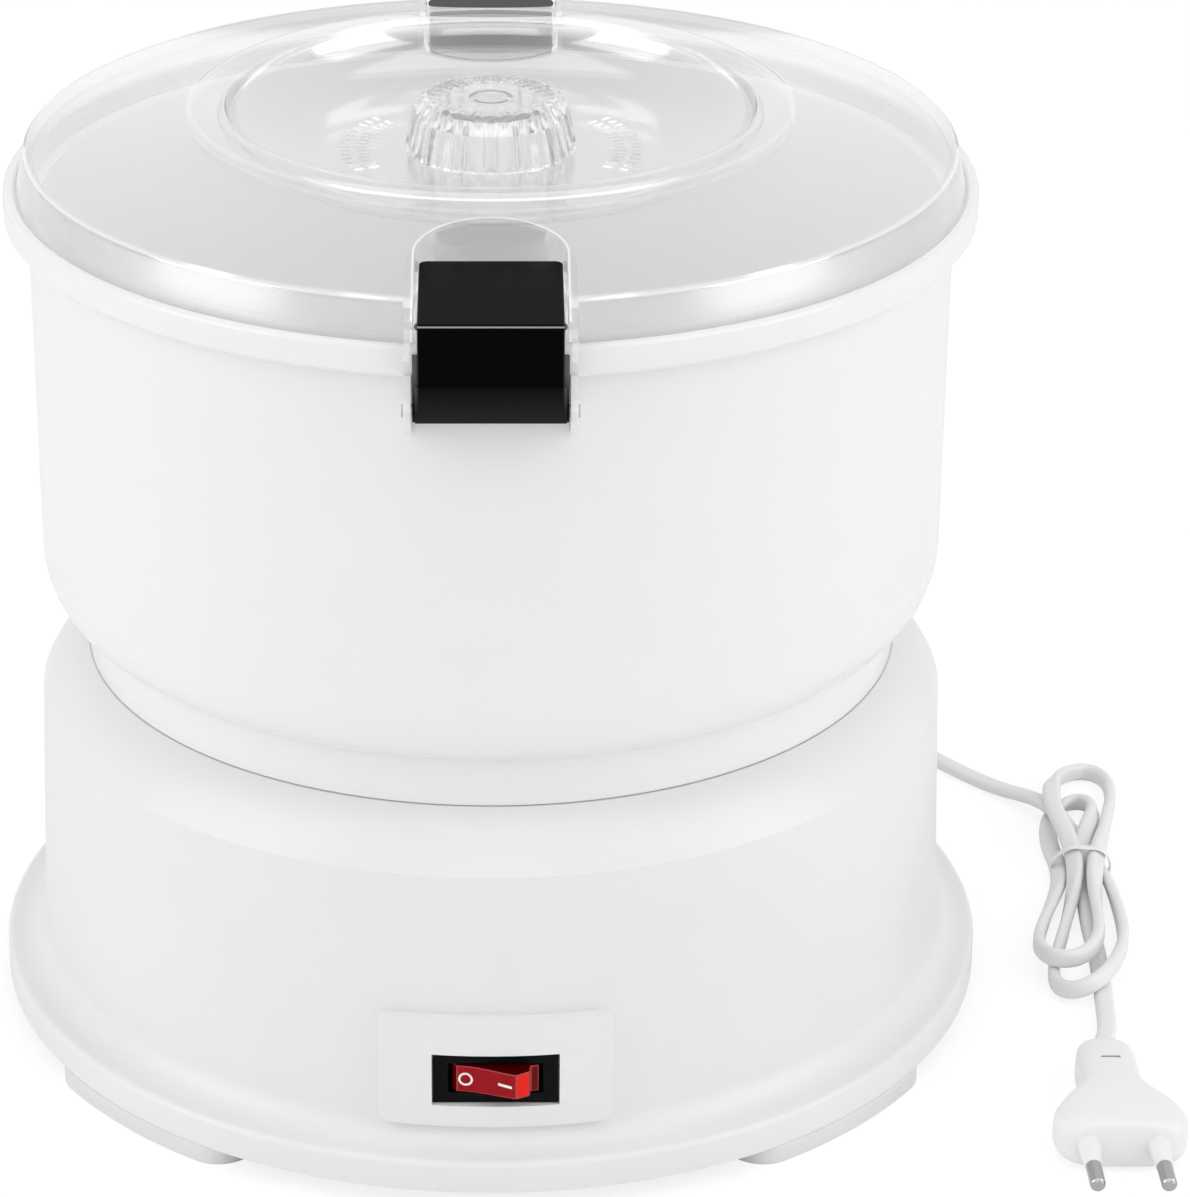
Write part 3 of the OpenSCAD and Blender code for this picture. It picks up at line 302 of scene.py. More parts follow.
inner_arch = [(162.2, 46.5, 1.9, 15), (161.3, 56, 1.9, 10), (161.9, 65.5, 1.9, 8),
    (163.4, 73.2, 1.8, 5), (166.2, 79.4, 2.3, 40), (170.4, 82.6, 2.9, 80),
    (174.6, 81.4, 3.6, 88), (176.2, 76, 4.2, 85), (174.9, 68.6, 5.1, 45),
    (172.6, 61, 5.5, 12), (170.4, 53.8, 5.5, 2), (169.2, 47, 4.6, 10), (168.3, 39, 2.5, 35)]
tail_run = [(168, 28.5, 1.9, 15), (167.4, 18, 1.8, 0), (167, 7, 1.8, 0), (167, -4, 1.8, 0),
    (166.7, -15, 1.8, 0), (166.2, -25, 1.8, 0), (165.6, -34, 1.8, 0), (165, -43, 1.8, 0),
    (164, -50.5, 2.6, 0), (162.6, -56.5, 4, 0), (161.2, -62, 5.8, 0), (160.3, -67, 6.8, 0),
    (160, -72, 6.85, 0)]
route = lead_run + outer_bend + upper_loop + lower_bend + inner_arch + tail_run
run = smooth_line(route, 0.8)
middle = run[:, :3]
ahead = np.gradient(middle, axis=0)
ahead /= np.linalg.norm(ahead, axis=1)[:, None]
aside = np.cross(ahead, [0, 0, 1.0])
aside /= np.linalg.norm(aside, axis=1)[:, None]
above = np.cross(aside, ahead)
lean = np.radians(run[:, 3])[:, None]
broad = aside * np.cos(lean) + above * np.sin(lean)
narrow = np.cross(ahead, broad)

# Two round halves with a flat between them make the lead's section
lead_round, lead_flat = 1.6, 1.0
lead_rings = []
for i in range(0, len(middle), 2):
    ring = []
    for t in np.radians(np.arange(9, 369, 18)):
        out = lead_flat * np.sign(math.cos(t)) + lead_round * math.cos(t)
        ring.append((middle[i] + broad[i] * out + narrow[i] * lead_round * math.sin(t)) * mm)
    lead_rings.append(ring)
lead_points, lead_faces = skin(lead_rings)
lead_length = float(np.linalg.norm(np.diff(middle, axis=0), axis=1).sum()) * mm

lead_pvc = plastic("lead_pvc", (0.80, 0.80, 0.80), 0.42, grain=0.0012, depth=0.00002)
mains_lead = add_piece("mains_lead", lead_points, lead_faces, lead_pvc, 60)
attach(mains_lead, "base")
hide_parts("cord_lead", "cord_hank", "cord_tail")

# ---- Tie round the hank ------------------------------------------------------------------
# A soft white PVC band with rounded edges, pulled tight round the waist of the hank, where
# five runs of the lead lie on and beside each other.

# The band's middle in millimetres across and up. It lies a little askew, as hands leave it
band_loop = [(161.0, 0.95), (166, 0.8), (171, 0.8), (175.6, 1.0), (176.8, 2.8), (176.6, 5.4),
    (175.2, 8.4), (172.6, 9.8), (169.2, 9.3), (166.4, 9.9), (163.6, 8.4), (160.9, 5.6),
    (159.4, 2.8)]
waist_x, waist_y, askew = 168, 41.4, 0.12
band_half_wide, band_half_thick = 1.15, 0.42
band_stops = [(x, waist_y - askew * (x - waist_x), z) for x, z in band_loop]
band = smooth_line(band_stops, 0.7, 2.2, closed=True)[:, :3]
band_rings = []
for i, spot in enumerate(band):
    onward = band[(i + 1) % len(band)] - band[i - 1]
    onward /= np.linalg.norm(onward)
    outward = np.cross(onward, [0, 1.0, 0])
    band_rings.append([(spot + np.array([0, band_half_wide, 0]) * math.cos(t)
        + outward * band_half_thick * math.sin(t)) * mm for t in np.radians(np.arange(0, 360, 36))])
band_points, band_faces = skin(band_rings, closed=True)
tie_pvc = plastic("tie_pvc", (0.84, 0.84, 0.84), 0.3, grain=0.0009, depth=0.00001)
lead_tie = add_piece("lead_tie", band_points, band_faces, tie_pvc, 80)
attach(lead_tie, "base")
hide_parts("cord_tie")

# ---- Strain relief -----------------------------------------------------------------------
# A tapered, ribbed sleeve of soft PVC that is moulded round the lead and clipped into the
# back wall of the base, so that the lead can't be bent sharply where it comes out.


def turned(profile, steps, at=(0, 0), axis="Z", flutes=None):
    """Rings of points from a profile of (radius, height) in millimetres, turned round an
    axis. Flutes gives a factor on the radius from the angle and the place in the profile."""
    rings = []
    for k, (r, h) in enumerate(profile):
        ring = []
        for t in (2 * math.pi * i / steps for i in range(steps)):
            f = r * (flutes(t, k) if flutes else 1)
            u, v = at[0] + f * math.cos(t), at[1] + f * math.sin(t)
            ring.append(Vector((u, v, h) if axis == "Z" else (u, h, v)) * mm)
        rings.append(ring)
    return rings


ribs, rib_pitch, rib_height, rib_taper = 6, 3.7, 0.75, 0.22
first_rib_y, first_rib_r = 126.2, 5.1
sleeve_profile = [(4.4, 112.9), (6.0, 113.1), (6.2, 113.6), (6.2, 119.2), (6.5, 119.4),
    (6.6, 119.8), (6.6, 125.2), (6.3, 125.8), (first_rib_r, first_rib_y)]
for i in range(ribs):
    thick = first_rib_r - rib_taper * i
    y = first_rib_y + rib_pitch * i
    sleeve_profile += [(thick, y + 0.5), (thick, y + 2.4),
        (thick - rib_height, y + 2.7), (thick - rib_height, y + 3.5)]
sleeve_profile += [(3.9, 148.6), (3.6, 149.4), (2.7, 149.7)]
sleeve_points, sleeve_faces = skin(turned(sleeve_profile, 40, (0, 30), "Y"))
lead_sleeve = add_piece("lead_sleeve", sleeve_points, sleeve_faces, lead_pvc, 50)
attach(lead_sleeve, "base")
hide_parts("strain_relief")

# ---- Plug --------------------------------------------------------------------------------
# A flat two-pin plug moulded onto the lead in the same white PVC: broad shoulders with
# rounded edges and a blunt neck with hollow flanks. The pins' sleeves sit in two cones.

# Its half width, half height and squareness along its length, from the nose to the lead
plug_x, plug_z, pin_out = 160, 6.85, 8.9
plug_y = [-113.7, -113.3, -112.2, -110, -106, -102.5, -99.5, -96, -93, -90.5, -88.5, -85,
    -76, -72, -70.2, -69, -68.7]
plug_wide = [11.8, 13.2, 15.0, 16.6, 17.3, 16.6, 15.0, 12.7, 10.6, 9.0, 8.2, 7.9,
    7.9, 7.3, 6.2, 4.6, 3.4]
plug_high = [4.8, 5.4, 5.8, 6.1, 6.4, 6.6, 6.8, 6.85, 6.85, 6.8, 6.8, 6.8,
    6.7, 6.5, 5.9, 4.6, 3.4]
plug_square = [0.5, 0.5, 0.5, 0.48, 0.46, 0.46, 0.46, 0.48, 0.55, 0.62, 0.7, 0.75,
    0.75, 0.72, 0.7, 0.8, 0.9]
plug_nose = [-113.7, -113.5, -113.3, -112.8]
plug_end = [-70.2, -69.6, -69, -68.8, -68.7]
plug_rings = []
for y in np.concatenate([plug_nose, np.arange(-112.2, -70.5, 1.1), plug_end]):
    w, h, power = (float(np.interp(y, plug_y, values))
        for values in (plug_wide, plug_high, plug_square))
    tilt = float(np.interp(y, [-112, -104], [0.25, 0]))  # The nose leans back at its top
    ring = []
    for t in np.radians(np.arange(3.75, 363.75, 7.5)):
        c, s = math.cos(t), math.sin(t)
        out = w * math.copysign(abs(c) ** power, c)
        high = h * math.copysign(abs(s) ** 0.5, s)
        ring.append(Vector((plug_x + out, y + tilt * high, plug_z + high)) * mm)
    plug_rings.append(ring)
plug_points, plug_faces = skin(plug_rings)
plug_pvc = plastic("plug_pvc", (0.80, 0.80, 0.80), 0.36, grain=0.0008, depth=0.000014)
lead_plug = add_piece("lead_plug", plug_points, plug_faces, plug_pvc, 50)
ease = lead_plug.modifiers.new("ease", "SUBSURF")
ease.levels = ease.render_levels = 1
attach(lead_plug, "base")
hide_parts("plug_body")

# Cones round the sleeves, moulded with the plug
cone = [(1.92, -111.0), (2.9, -111.0), (2.9, -114.4), (2.75, -116.2), (2.2, -122.2),
    (1.92, -122.5)]
for name, side in (("plug_collar_left", -1), ("plug_collar_right", 1)):
    rings = turned(cone, 36, (plug_x + side * pin_out, plug_z), "Y")
    collar = add_piece(name, *skin(rings, closed=True), plug_pvc, 40)
    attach(collar, "base")

# A dark strip across the neck, where the mould was parted, is painted shade standing for a short
# slot
slot_corners = [(158.0, -81.1), (163.0, -81.1), (163.0, -80.6), (158.0, -80.6)]
slot_rings = [[Vector((x, y, z)) * mm for x, y in slot_corners] for z in (13.5, 13.72)]
slot_shadow = plastic("slot_shadow", (0.24, 0.24, 0.24), 0.5)
slot_mark = add_piece("plug_slot", *skin(slot_rings), slot_shadow)
round_off = slot_mark.modifiers.new("round", "BEVEL")
round_off.width, round_off.segments = 0.03 * mm, 2
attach(slot_mark, "base")

# The sleeves are moulded nylon, and the pins brass rod with a bright nickel plating that
# shows fine turning lines round their domed ends.


def dress(finish, *names):
    """Gives nodes of the frame their finish."""
    for name in names:
        for place in nodes[name].material_slots:
            place.material = finish.owner


def metal(name, colour, rough, spread=0.1, line=(1, 1, 12), size=0.004, depth=0.000008):
    """Metal with fine lines from turning, drawing or grinding, and duller patches. A depth
    of 0 leaves it without the lines' relief."""
    finish = Finish(bpy.data.materials.new(name), {"Metallic": 1.0})
    lines = finish.noise(size, 3, line)
    patch = finish.noise(0.008, 3)
    finish.set(base_color=finish.mix(patch, [c * 0.88 for c in colour], colour),
        roughness=rough - spread / 2 + spread * lines)
    if depth:
        finish.bump(lines, depth)
    return finish


sleeve_nylon = plastic("sleeve_nylon", (0.78, 0.78, 0.78), 0.38, grain=0.0005, depth=0.00001)
dress(sleeve_nylon, "plug_sleeves")
nickel = metal("nickel", (0.42, 0.42, 0.41), 0.15, 0.08, (12, 1, 12), 0.012)
dress(nickel, "plug_pins")

[list(p * mm) for p in middle]

# ---- Base housing ------------------------------------------------------------------------
# One deep injection moulding in white ABS with a satin skin: a wide flange at the foot, a
# tapered wall and a raised pad for the switch. It is open below and carries all the rest.


def moulded(name, node, finish, body, edge=0.4, turn=30, smooth=38, segments=2):
    """A moulding with the shape of a node, whose edges are rounded by edge millimetres
    where its faces meet at more than turn degrees."""
    merged = bmesh.new()
    merged.from_mesh(nodes[node].data)
    bmesh.ops.remove_doubles(merged, verts=merged.verts, dist=2e-6)
    bmesh.ops.dissolve_limit(merged, angle_limit=math.radians(0.6), verts=merged.verts,
        edges=merged.edges)
    points = [v.co.copy() for v in merged.verts]
    merged.verts.index_update()
    faces = [[v.index for v in f.verts] for f in merged.faces]
    merged.free()
    new = add_piece(name, points, faces, finish, smooth)
    rounding = new.modifiers.new("edges", "BEVEL")
    rounding.width = edge * mm
    rounding.segments = segments
    rounding.limit_method = "ANGLE"
    rounding.angle_limit = math.radians(turn)
    rounding.harden_normals = True
    rounding.miter_outer = "MITER_ARC"
    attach(new, body)
    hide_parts(node)
    return new


base_abs = plastic("base_abs", (0.77, 0.77, 0.77), 0.36, 0.06, grain=0.0007, depth=0.00001)
base_shell = moulded("base_shell", "base_housing", base_abs, "base",
    1.6, 20, 20, 3)

# The pad's rim is rounded most, above the switch more than below it, and other edges least
rim_full, rim_part, edge_part = 1.0, 0.6, 0.3
pad_above, pad_below, pad_radii = 20, 24, (124, 124.4)
hole_low, hole_high = (corner * 1000 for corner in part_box("switch_body"))
shaped = bmesh.new()
shaped.from_mesh(base_shell.data)
rounding = shaped.edges.layers.float.new("bevel_weight_edge")
for edge in shaped.edges:
    if edge.is_manifold and edge.calc_face_angle() > math.radians(20):
        spot = (edge.verts[0].co + edge.verts[1].co) * 500
        over_hole = spot.z - hole_high.z
        from_axis = math.hypot(spot.x, spot.y)
        on_pad = spot.y < 0 and pad_above > over_hole > -pad_below \
            and pad_radii[0] < from_axis < pad_radii[1]
        in_hole = hole_low.x - 1 < spot.x < hole_high.x + 1 \
            and hole_low.z - 1 < spot.z < hole_high.z + 1
        if in_hole or not on_pad:
            edge[rounding] = edge_part
        else:
            edge[rounding] = rim_full if over_hole > 5 else rim_part
shaped.to_mesh(base_shell.data)
shaped.free()
base_shell.modifiers["edges"].limit_method = "WEIGHT"

# ---- Underside of the base ---------------------------------------------------------------
# The bottom plate is thin grey ABS, held by four steel screws. Four curved feet in soft
# pale rubber are pressed into the flange, and keep the base from walking.

plate_abs = plastic("plate_abs", (0.42, 0.42, 0.43), 0.5, 0.1, grain=0.0009, depth=0.00003)
moulded("bottom_plate", "base_plate", plate_abs, "base", 0.25)
foot_rubber = plastic("foot_rubber", (0.70, 0.70, 0.70), 0.62, 0.1, grain=0.0007,
    depth=0.00003)
for place in ("front_left", "front_right", "rear_left", "rear_right"):
    moulded("rubber_foot_" + place, "foot_" + place, foot_rubber, "base",
        0.7, segments=3)
screw_steel = metal("screw_steel", (0.50, 0.50, 0.51), 0.32, 0.15, (6, 6, 1))
dress(screw_steel, "base_screws", "gear_plate_screws")

# ---- Gear plate and gears ----------------------------------------------------------------
# A pressed steel plate on posts carries the motor and the idler. The gears are cut in
# natural nylon, run in sintered bronze bushes, and are kept dry by a rubber lip seal.

pressed_steel = metal("pressed_steel", (0.56, 0.57, 0.59), 0.42, 0.2, (1, 8, 1), 0.006)
dress(pressed_steel, "gear_plate", "spindle_clip")
ground_steel = metal("ground_steel", (0.62, 0.62, 0.63), 0.22, 0.1, (2, 2, 14), 0.003)
dress(ground_steel, "idler_axle", "drive_spindle", "motor_shaft")
sintered_bronze = metal("sintered_bronze", (0.58, 0.38, 0.20), 0.45, 0.2, (1, 1, 1), 0.0006,
    0.00002)
dress(sintered_bronze, "spindle_lower_bush", "spindle_upper_bush", "motor_bushes")
seal_rubber = plastic("seal_rubber", (0.025, 0.025, 0.027), 0.6, 0.15, grain=0.0006,
    depth=0.00002, tint=0.7)
dress(seal_rubber, "spindle_seal")
gear_nylon = plastic("gear_nylon", (0.76, 0.73, 0.64), 0.42, 0.12, grain=0.0008,
    depth=0.00002, tint=0.93)
dress(gear_nylon, "idler_gear", "output_gear", "bowl_bush")

# ---- Motor -------------------------------------------------------------------------------
# A universal motor: stacked laminations, enamelled copper windings, a bronze commutator
# with carbon brushes in brass boxes, steel brackets, a black nylon fan and a brass pinion.

lamination = metal("lamination", (0.30, 0.30, 0.32), 0.48, 0.2, (1, 1, 1), 0.01, depth=0)
sheets = lamination.node("ShaderNodeTexWave", {"bands_direction": "Z"},
    {"Vector": lamination.at(), "Scale": 320.0, "Distortion": 0.3, "Detail": 1.0}, 1)
lamination.bump(sheets, 0.00006)
dress(lamination, "stator_core", "armature_core")
enamelled_copper = metal("enamelled_copper", (0.62, 0.26, 0.10), 0.3, 0.15, (1, 1, 1), 0.004,
    depth=0)
turns = enamelled_copper.node("ShaderNodeTexWave", {"bands_direction": "DIAGONAL"},
    {"Vector": enamelled_copper.at(), "Scale": 420.0, "Distortion": 0.6, "Detail": 1.0}, 1)
enamelled_copper.bump(turns, 0.0001)
dress(enamelled_copper, "field_coils", "armature_windings")
dress(sintered_bronze, "commutator")
bar_brass = metal("bar_brass", (0.72, 0.50, 0.22), 0.28, 0.15, (1, 1, 10))
dress(bar_brass, "motor_pinion", "brush_holders", "switch_terminals")
brush_carbon = plastic("brush_carbon", (0.03, 0.03, 0.032), 0.7, 0.15, grain=0.0004,
    depth=0.00002, tint=0.6)
dress(brush_carbon, "carbon_brushes")
dress(pressed_steel, "motor_top_bracket", "motor_bottom_bracket")
black_nylon = plastic("black_nylon", (0.022, 0.022, 0.024), 0.4, 0.12, grain=0.0008,
    depth=0.00002, tint=0.7)
dress(black_nylon, "cooling_fan")

# ---- Wiring ------------------------------------------------------------------------------
# Stranded copper in white PVC from a white nylon terminal block to the switch and the
# brushes, pushed on with brass tags.

wire_pvc = plastic("wire_pvc", (0.74, 0.74, 0.73), 0.4, 0.1, grain=0.0006, depth=0.00002)
dress(wire_pvc, "wiring", "terminal_block")

# ---- Mains switch ------------------------------------------------------------------------
# A snap-in rocker switch: a black nylon frame, and a rocker in clear red polycarbonate
# whose raised end is painted lighter with a painted glow. Its O and I are printed on the face in
# white.

frame_nylon = plastic("frame_nylon", (0.003, 0.004, 0.004), 0.3, 0.08, depth=0.000006,
    tint=0.6, ior=1.15)
moulded("switch_frame", "switch_body", frame_nylon, "base", 0.25)

# The rocker's outline at rest, in millimetres along it and outward from its hinge. The
# second to the eighth point are its face, and the last two before the back its low end
rocker_line = [(-10.9, 2.6), (-9.65, 4.5), (-7.2, 4.75), (-4.7, 5.35), (-2.2, 6.25),
    (0.3, 7.2), (2.7, 8.1), (5.1, 8.85), (8.4, 7.1), (8.7, 4.6), (10.7, 4.1), (10.6, 0.4),
    (5.0, -0.6), (3.6, -4.0), (-2.2, -4.0), (-4.4, 0.8)]
rocker_half, rocker_draft = 3.95, 0.06
hinge = next(Vector(j["pos_m"]) for j in frame["joints"] if j["name"] == "switch_rock") * 1000
rocker_rings = [[Vector((hinge.x + x, hinge.y - y,
    hinge.z + side * (rocker_half - rocker_draft * y))) * mm
    for x, y in rocker_line] for side in (-1, 1)]


def part(finish, vector, axis):
    """The X, Y or Z of a vector."""
    return finish.node("ShaderNodeSeparateXYZ", None, {0: vector}, axis)


def facing(finish):
    """The direction in which a surface faces."""
    return finish.node("ShaderNodeTexCoord", output="Normal")


# Painted light: faces of the raised end that turn to the right are painted lighter red and given a
# painted glow. The top face, the low end and the left chamfer are painted darker as painted shade
low_end = (hinge.x + 8.6) * mm
red_clear = grained("red_clear", 0.14, 0.05, grain=0.001, depth=0.000004, ior=1.2)
turned_right = part(red_clear, facing(red_clear), "X")
right_painted_light = turned_right.rise(0.34, 0.42)
top_painted_shade = part(red_clear, facing(red_clear), "Z").rise(0.45, 0.75)
low_painted_shade = part(red_clear, red_clear.at(), "X").rise(low_end - 0.05 * mm, low_end + 0.05 * mm) \
    + turned_right.fall(-0.75, -0.55)
face_red = red_clear.mix(right_painted_light, (0.30, 0.004, 0.009), (0.60, 0.012, 0.006))
face_red = red_clear.mix(low_painted_shade, face_red, (0.13, 0.001, 0.002))
red_clear.set(base_color=red_clear.mix(top_painted_shade, face_red, (0.06, 0, 0.001)),
    emission_color=red_clear.mix(right_painted_light, (0, 0, 0), (0.16, 0.006, 0.002)),
    emission_strength=1.0)
# The rocker's rounded edges take a lighter red: a painted highlight along its edges
red_edge_highlight = plastic("red_edge_highlight", (0.34, 0.026, 0.026), 0.12, 0.04, grain=0.001,
    depth=0.000004, tint=0.9)
red_rocker = add_piece("red_rocker", *skin(rocker_rings), red_clear, 30)
red_rocker.data.materials.append(red_edge_highlight.owner)
rocker_edges = red_rocker.modifiers.new("edges", "BEVEL")
rocker_edges.width, rocker_edges.segments = 0.25 * mm, 3
rocker_edges.limit_method, rocker_edges.angle_limit = "ANGLE", math.radians(25)
rocker_edges.harden_normals = True
rocker_edges.material = 1
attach(red_rocker, "rocker")
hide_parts("switch_rocker")


def on_face(x, z, rise):
    """A point on the rocker's face, x along it and z up, raised by rise."""
    xs, ys = zip(*rocker_line[1:8])
    outward = float(np.interp(x, xs, ys)) + rise
    return Vector((hinge.x + x, hinge.y - outward, hinge.z + z)) * mm


# The printed marks: each is a thin pad of ink that follows the face
ink_foot, ink_top = -0.05, 0.06
ring_middle, ring_inner, ring_outer = -7.5, 1.3, 1.82
bar_start, bar_end, bar_half, bar_tilt, bar_rise = 0.6, 4.0, 0.36, 0.11, 0.12
mark_ink = plastic("mark_ink", (0.86, 0.84, 0.82), 0.45, 0.1, grain=0.0004, depth=0.000004)
ring_loops = [[on_face(ring_middle + r * math.cos(t), r * math.sin(t), rise)
    for t in np.radians(np.arange(0, 360, 9))]
    for r, rise in ((ring_inner, ink_foot), (ring_inner, ink_top),
        (ring_outer, ink_top), (ring_outer, ink_foot))]
bar_loops = [[on_face(x, z + bar_rise - bar_tilt * (x - bar_start), rise)
    for z, rise in ((-bar_half, ink_foot), (-bar_half, ink_top),
        (bar_half, ink_top), (bar_half, ink_foot))]
    for x in np.linspace(bar_start, bar_end, 9)]
for name, shape in (("mark_o", skin(ring_loops, closed=True)), ("mark_i", skin(bar_loops))):
    mark = add_piece(name, *shape, mark_ink, 30)
    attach(mark, "rocker")

# ---- Bowl --------------------------------------------------------------------------------
# The bowl is moulded in glossy white ABS with a polished outside, a rim band for the lid
# and ears for the clips. It lifts off the base, and a nylon bush lines its tube.


def off_axis(finish):
    """The place on a piece, less its height: it points away from the peeler's axis."""
    return finish.node("ShaderNodeVectorMath", {"operation": "MULTIPLY"},
        {0: finish.at(), 1: (1, 1, 0)})


def radius_of(finish):
    """How far a place is from the peeler's axis, in metres."""
    return finish.node("ShaderNodeVectorMath", {"operation": "LENGTH"}, {0: off_axis(finish)},
        "Value")


# The inside is duller, and painted paler than the outside as painted light, where its wall faces
# the axis. A ramp takes values from 0 to 1, so both are shifted into it
wall_radius, shift = 0.1165, 0.75
bowl_abs = grained("bowl_abs", 0.2, grain=0.004, depth=0.000006)
outward = bowl_abs.node("ShaderNodeVectorMath", {"operation": "DOT_PRODUCT"},
    {0: facing(bowl_abs), 1: off_axis(bowl_abs)}, "Value")
within = wall_radius + shift - radius_of(bowl_abs)
inside = within.ramp((shift, 0), (shift + 0.0005, 1)) * (outward + 0.5).ramp((0.48, 1), (0.49, 0))
satin = bowl_abs.noise(0.012, 4)
outer_white = bowl_abs.mix(satin, (0.79, 0.79, 0.79), (0.80, 0.80, 0.80))
inner_painted_light_white = bowl_abs.mix(satin, (0.90, 0.90, 0.90), (0.93, 0.93, 0.93))
bowl_abs.set(roughness=0.175 + 0.05 * satin + 0.35 * inside,
    base_color=bowl_abs.mix(inside, outer_white, inner_painted_light_white))
moulded("bowl_shell", "bowl", bowl_abs, "bowl", 0.5, 20, 20)

# ---- Peeling disc ------------------------------------------------------------------------
# A white polypropylene disc with three humps that throw the potatoes against the wall. A
# ring of pale abrasive grit is glued to its top.

disc_pp = plastic("disc_pp", (0.88, 0.88, 0.875), 0.5, 0.1, grain=0.0009, depth=0.00002)
moulded("disc_body", "peeling_disc", disc_pp, "disc", 0.4)
grit = Finish(bpy.data.materials.new("grit"))
grains = grit.node("ShaderNodeTexVoronoi", None, {"Vector": grit.at(), "Scale": 1100.0})
grit.set(base_color=grit.mix(grains, (0.86, 0.85, 0.84), (0.62, 0.61, 0.59)),
    roughness=0.6 + 0.3 * grains)
grit.bump(grains, 0.0004)
dress(grit, "disc_abrasive")

# ---- Lid and knob ------------------------------------------------------------------------
# The lid is one moulding in clear polystyrene: a steep rim, a long slope, a round crest
# and a dish. The fluted knob is welded into the dish, and both show the mould's polish.


class ClearFinish(Finish):
    """Clear plastic with faint clouding. Lamps shine straight through its film, whatever
    share of it the eye sees as solid."""

    def __init__(self, name, settings, tint, film):
        super().__init__(bpy.data.materials.new(name), settings)
        self.haze = self.noise(0.03, 3)
        self.set(base_color=self.mix(self.haze, [c * 0.97 for c in tint], tint))
        self.bump(self.noise(0.02, 2), 0.00002)
        self.film = self.node("ShaderNodeBsdfTransparent", None, {"Color": film})

    def show(self, share):
        through = self.node("ShaderNodeLightPath", output="Is Shadow Ray") \
            + self.node("ShaderNodeLightPath", output="Is Diffuse Ray")
        solid = Shade(self, self.surface.outputs[0])
        self.feed(self.tree.nodes["Material Output"].inputs["Surface"],
            self.node("ShaderNodeMixShader", None,
                {0: share * (1 - through), 1: self.film, 2: solid}))


# The thin lid doesn't bend what is behind it. It mirrors the room where it is seen aslant.
# Bands of extra mirror, set by place on the round crest, along the crest's two edges, round the rim
# and a little on the skirt, paint bright reflection lines.
lid_tint = (0.988, 0.988, 0.988)
lid_styrene = ClearFinish("lid_styrene", {"Metallic": 1.0}, lid_tint, (0.996, 0.996, 0.996))
aslant = lid_styrene.node("ShaderNodeLayerWeight", None, {"Blend": 0.5}, "Facing")
radius = radius_of(lid_styrene)
height = part(lid_styrene, lid_styrene.at(), "Z")
crest_painted_reflection = height.rise(242.0 * mm, 242.5 * mm) * (10 * radius).ramp((0.660, 0), (0.668, 0.5),
    (0.673, 0.9), (0.678, 0.12), (0.685, 0.16), (0.750, 0.16), (0.758, 0.10), (0.764, 0.8),
    (0.769, 0.4), (0.774, 0))
rim_painted_reflection = height.rise(235.85 * mm, 235.95 * mm) * height.fall(236.5 * mm, 237.0 * mm) \
    * radius.rise(116.5 * mm, 117.5 * mm)
on_skirt = height.fall(235.0 * mm, 235.8 * mm) * radius.rise(116.0 * mm, 118.0 * mm)

# A painted bright reflection edge runs round each pocket, on the slope above its wall and on the
# floor below
pocket_half_wide, pocket_half_long, pocket_middle = 17.9 * mm, 14 * mm, 97.8 * mm
beside = part(lid_styrene, lid_styrene.at(), "X") / pocket_half_wide
beyond = (pocket_middle - abs(part(lid_styrene, lid_styrene.at(), "Y"))) / pocket_half_long
reach = (beside * beside + beyond.at_least(0) ** 2) ** 0.5
pocket_painted_reflection = reach.rise(0.964, 0.972) * reach.fall(1.028, 1.036) \
    * part(lid_styrene, facing(lid_styrene), "Z").rise(0.5, 0.7)
lid_styrene.set(roughness=0.09 + 0.02 * lid_styrene.haze + 0.26 * on_skirt)
lid_styrene.show(0.1 + 0.9 * aslant ** 4 + 0.45 * crest_painted_reflection + 0.5 * rim_painted_reflection + 0.07 * on_skirt
    + 0.6 * pocket_painted_reflection)
# The lid's rounded edges and the ticks take a fixed half share of mirror and a darker film, which
# paint bright reflection lines and darker lines along them
corner_styrene = ClearFinish("corner_styrene", {"Metallic": 1.0}, lid_tint,
    (0.91, 0.91, 0.91))
corner_styrene.set(roughness=0.09 + 0.02 * corner_styrene.haze)
corner_styrene.show(0.5)
clear_lid = moulded("clear_lid", "lid", lid_styrene, "lid", 0.3, 16)
clear_lid.data.materials.append(corner_styrene.owner)
clear_lid.modifiers["edges"].material = 1

# The knob is thick, so it bends the light. It is hollow below, and its flutes fade out at
# the top and the foot
knob_styrene = ClearFinish("knob_styrene", {"IOR": 1.49, "Transmission Weight": 1.0},
    (0.985, 0.988, 0.99), (0.97, 0.975, 0.98))
knob_styrene.set(roughness=0.008 + 0.02 * knob_styrene.haze)
knob_styrene.show(0.88)
knob_profile = [(0.02, 244.4), (14.6, 244.4), (17.4, 241.9), (19.4, 233.3), (21.7, 233.3),
    (21.8, 233.6), (21.5, 235.2), (20.9, 238.5), (20.3, 241.5), (19.7, 243.6),
    (19.1, 245.2), (18.5, 246.3), (17.9, 246.9), (17.2, 247.15), (16.4, 247.15),
    (15.8, 246.95), (10.0, 246.8), (5.6, 246.75), (5.2, 246.45), (4.8, 246.4),
    (4.4, 246.7), (0.02, 246.75)]
knob_fluted = [0, 0, 0, 0, 0.4, 0.7, 1, 1, 1, 1, 1, 1, 1, 1, 0.7, 0.2, 0, 0, 0, 0, 0, 0]
knob_flutes, flute_depth, flute_sharpness = 26, 0.05, 0.7


def knob_flute(turn, k):
    hollow = (0.5 - 0.5 * math.cos(knob_flutes * turn)) ** flute_sharpness
    return 1 - flute_depth * knob_fluted[k] * hollow


knob_rings = turned(knob_profile, 12 * knob_flutes, flutes=knob_flute)
clear_knob = add_piece("clear_knob", *skin(knob_rings), knob_styrene, 35)
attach(clear_knob, "lid")
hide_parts("lid_knob")

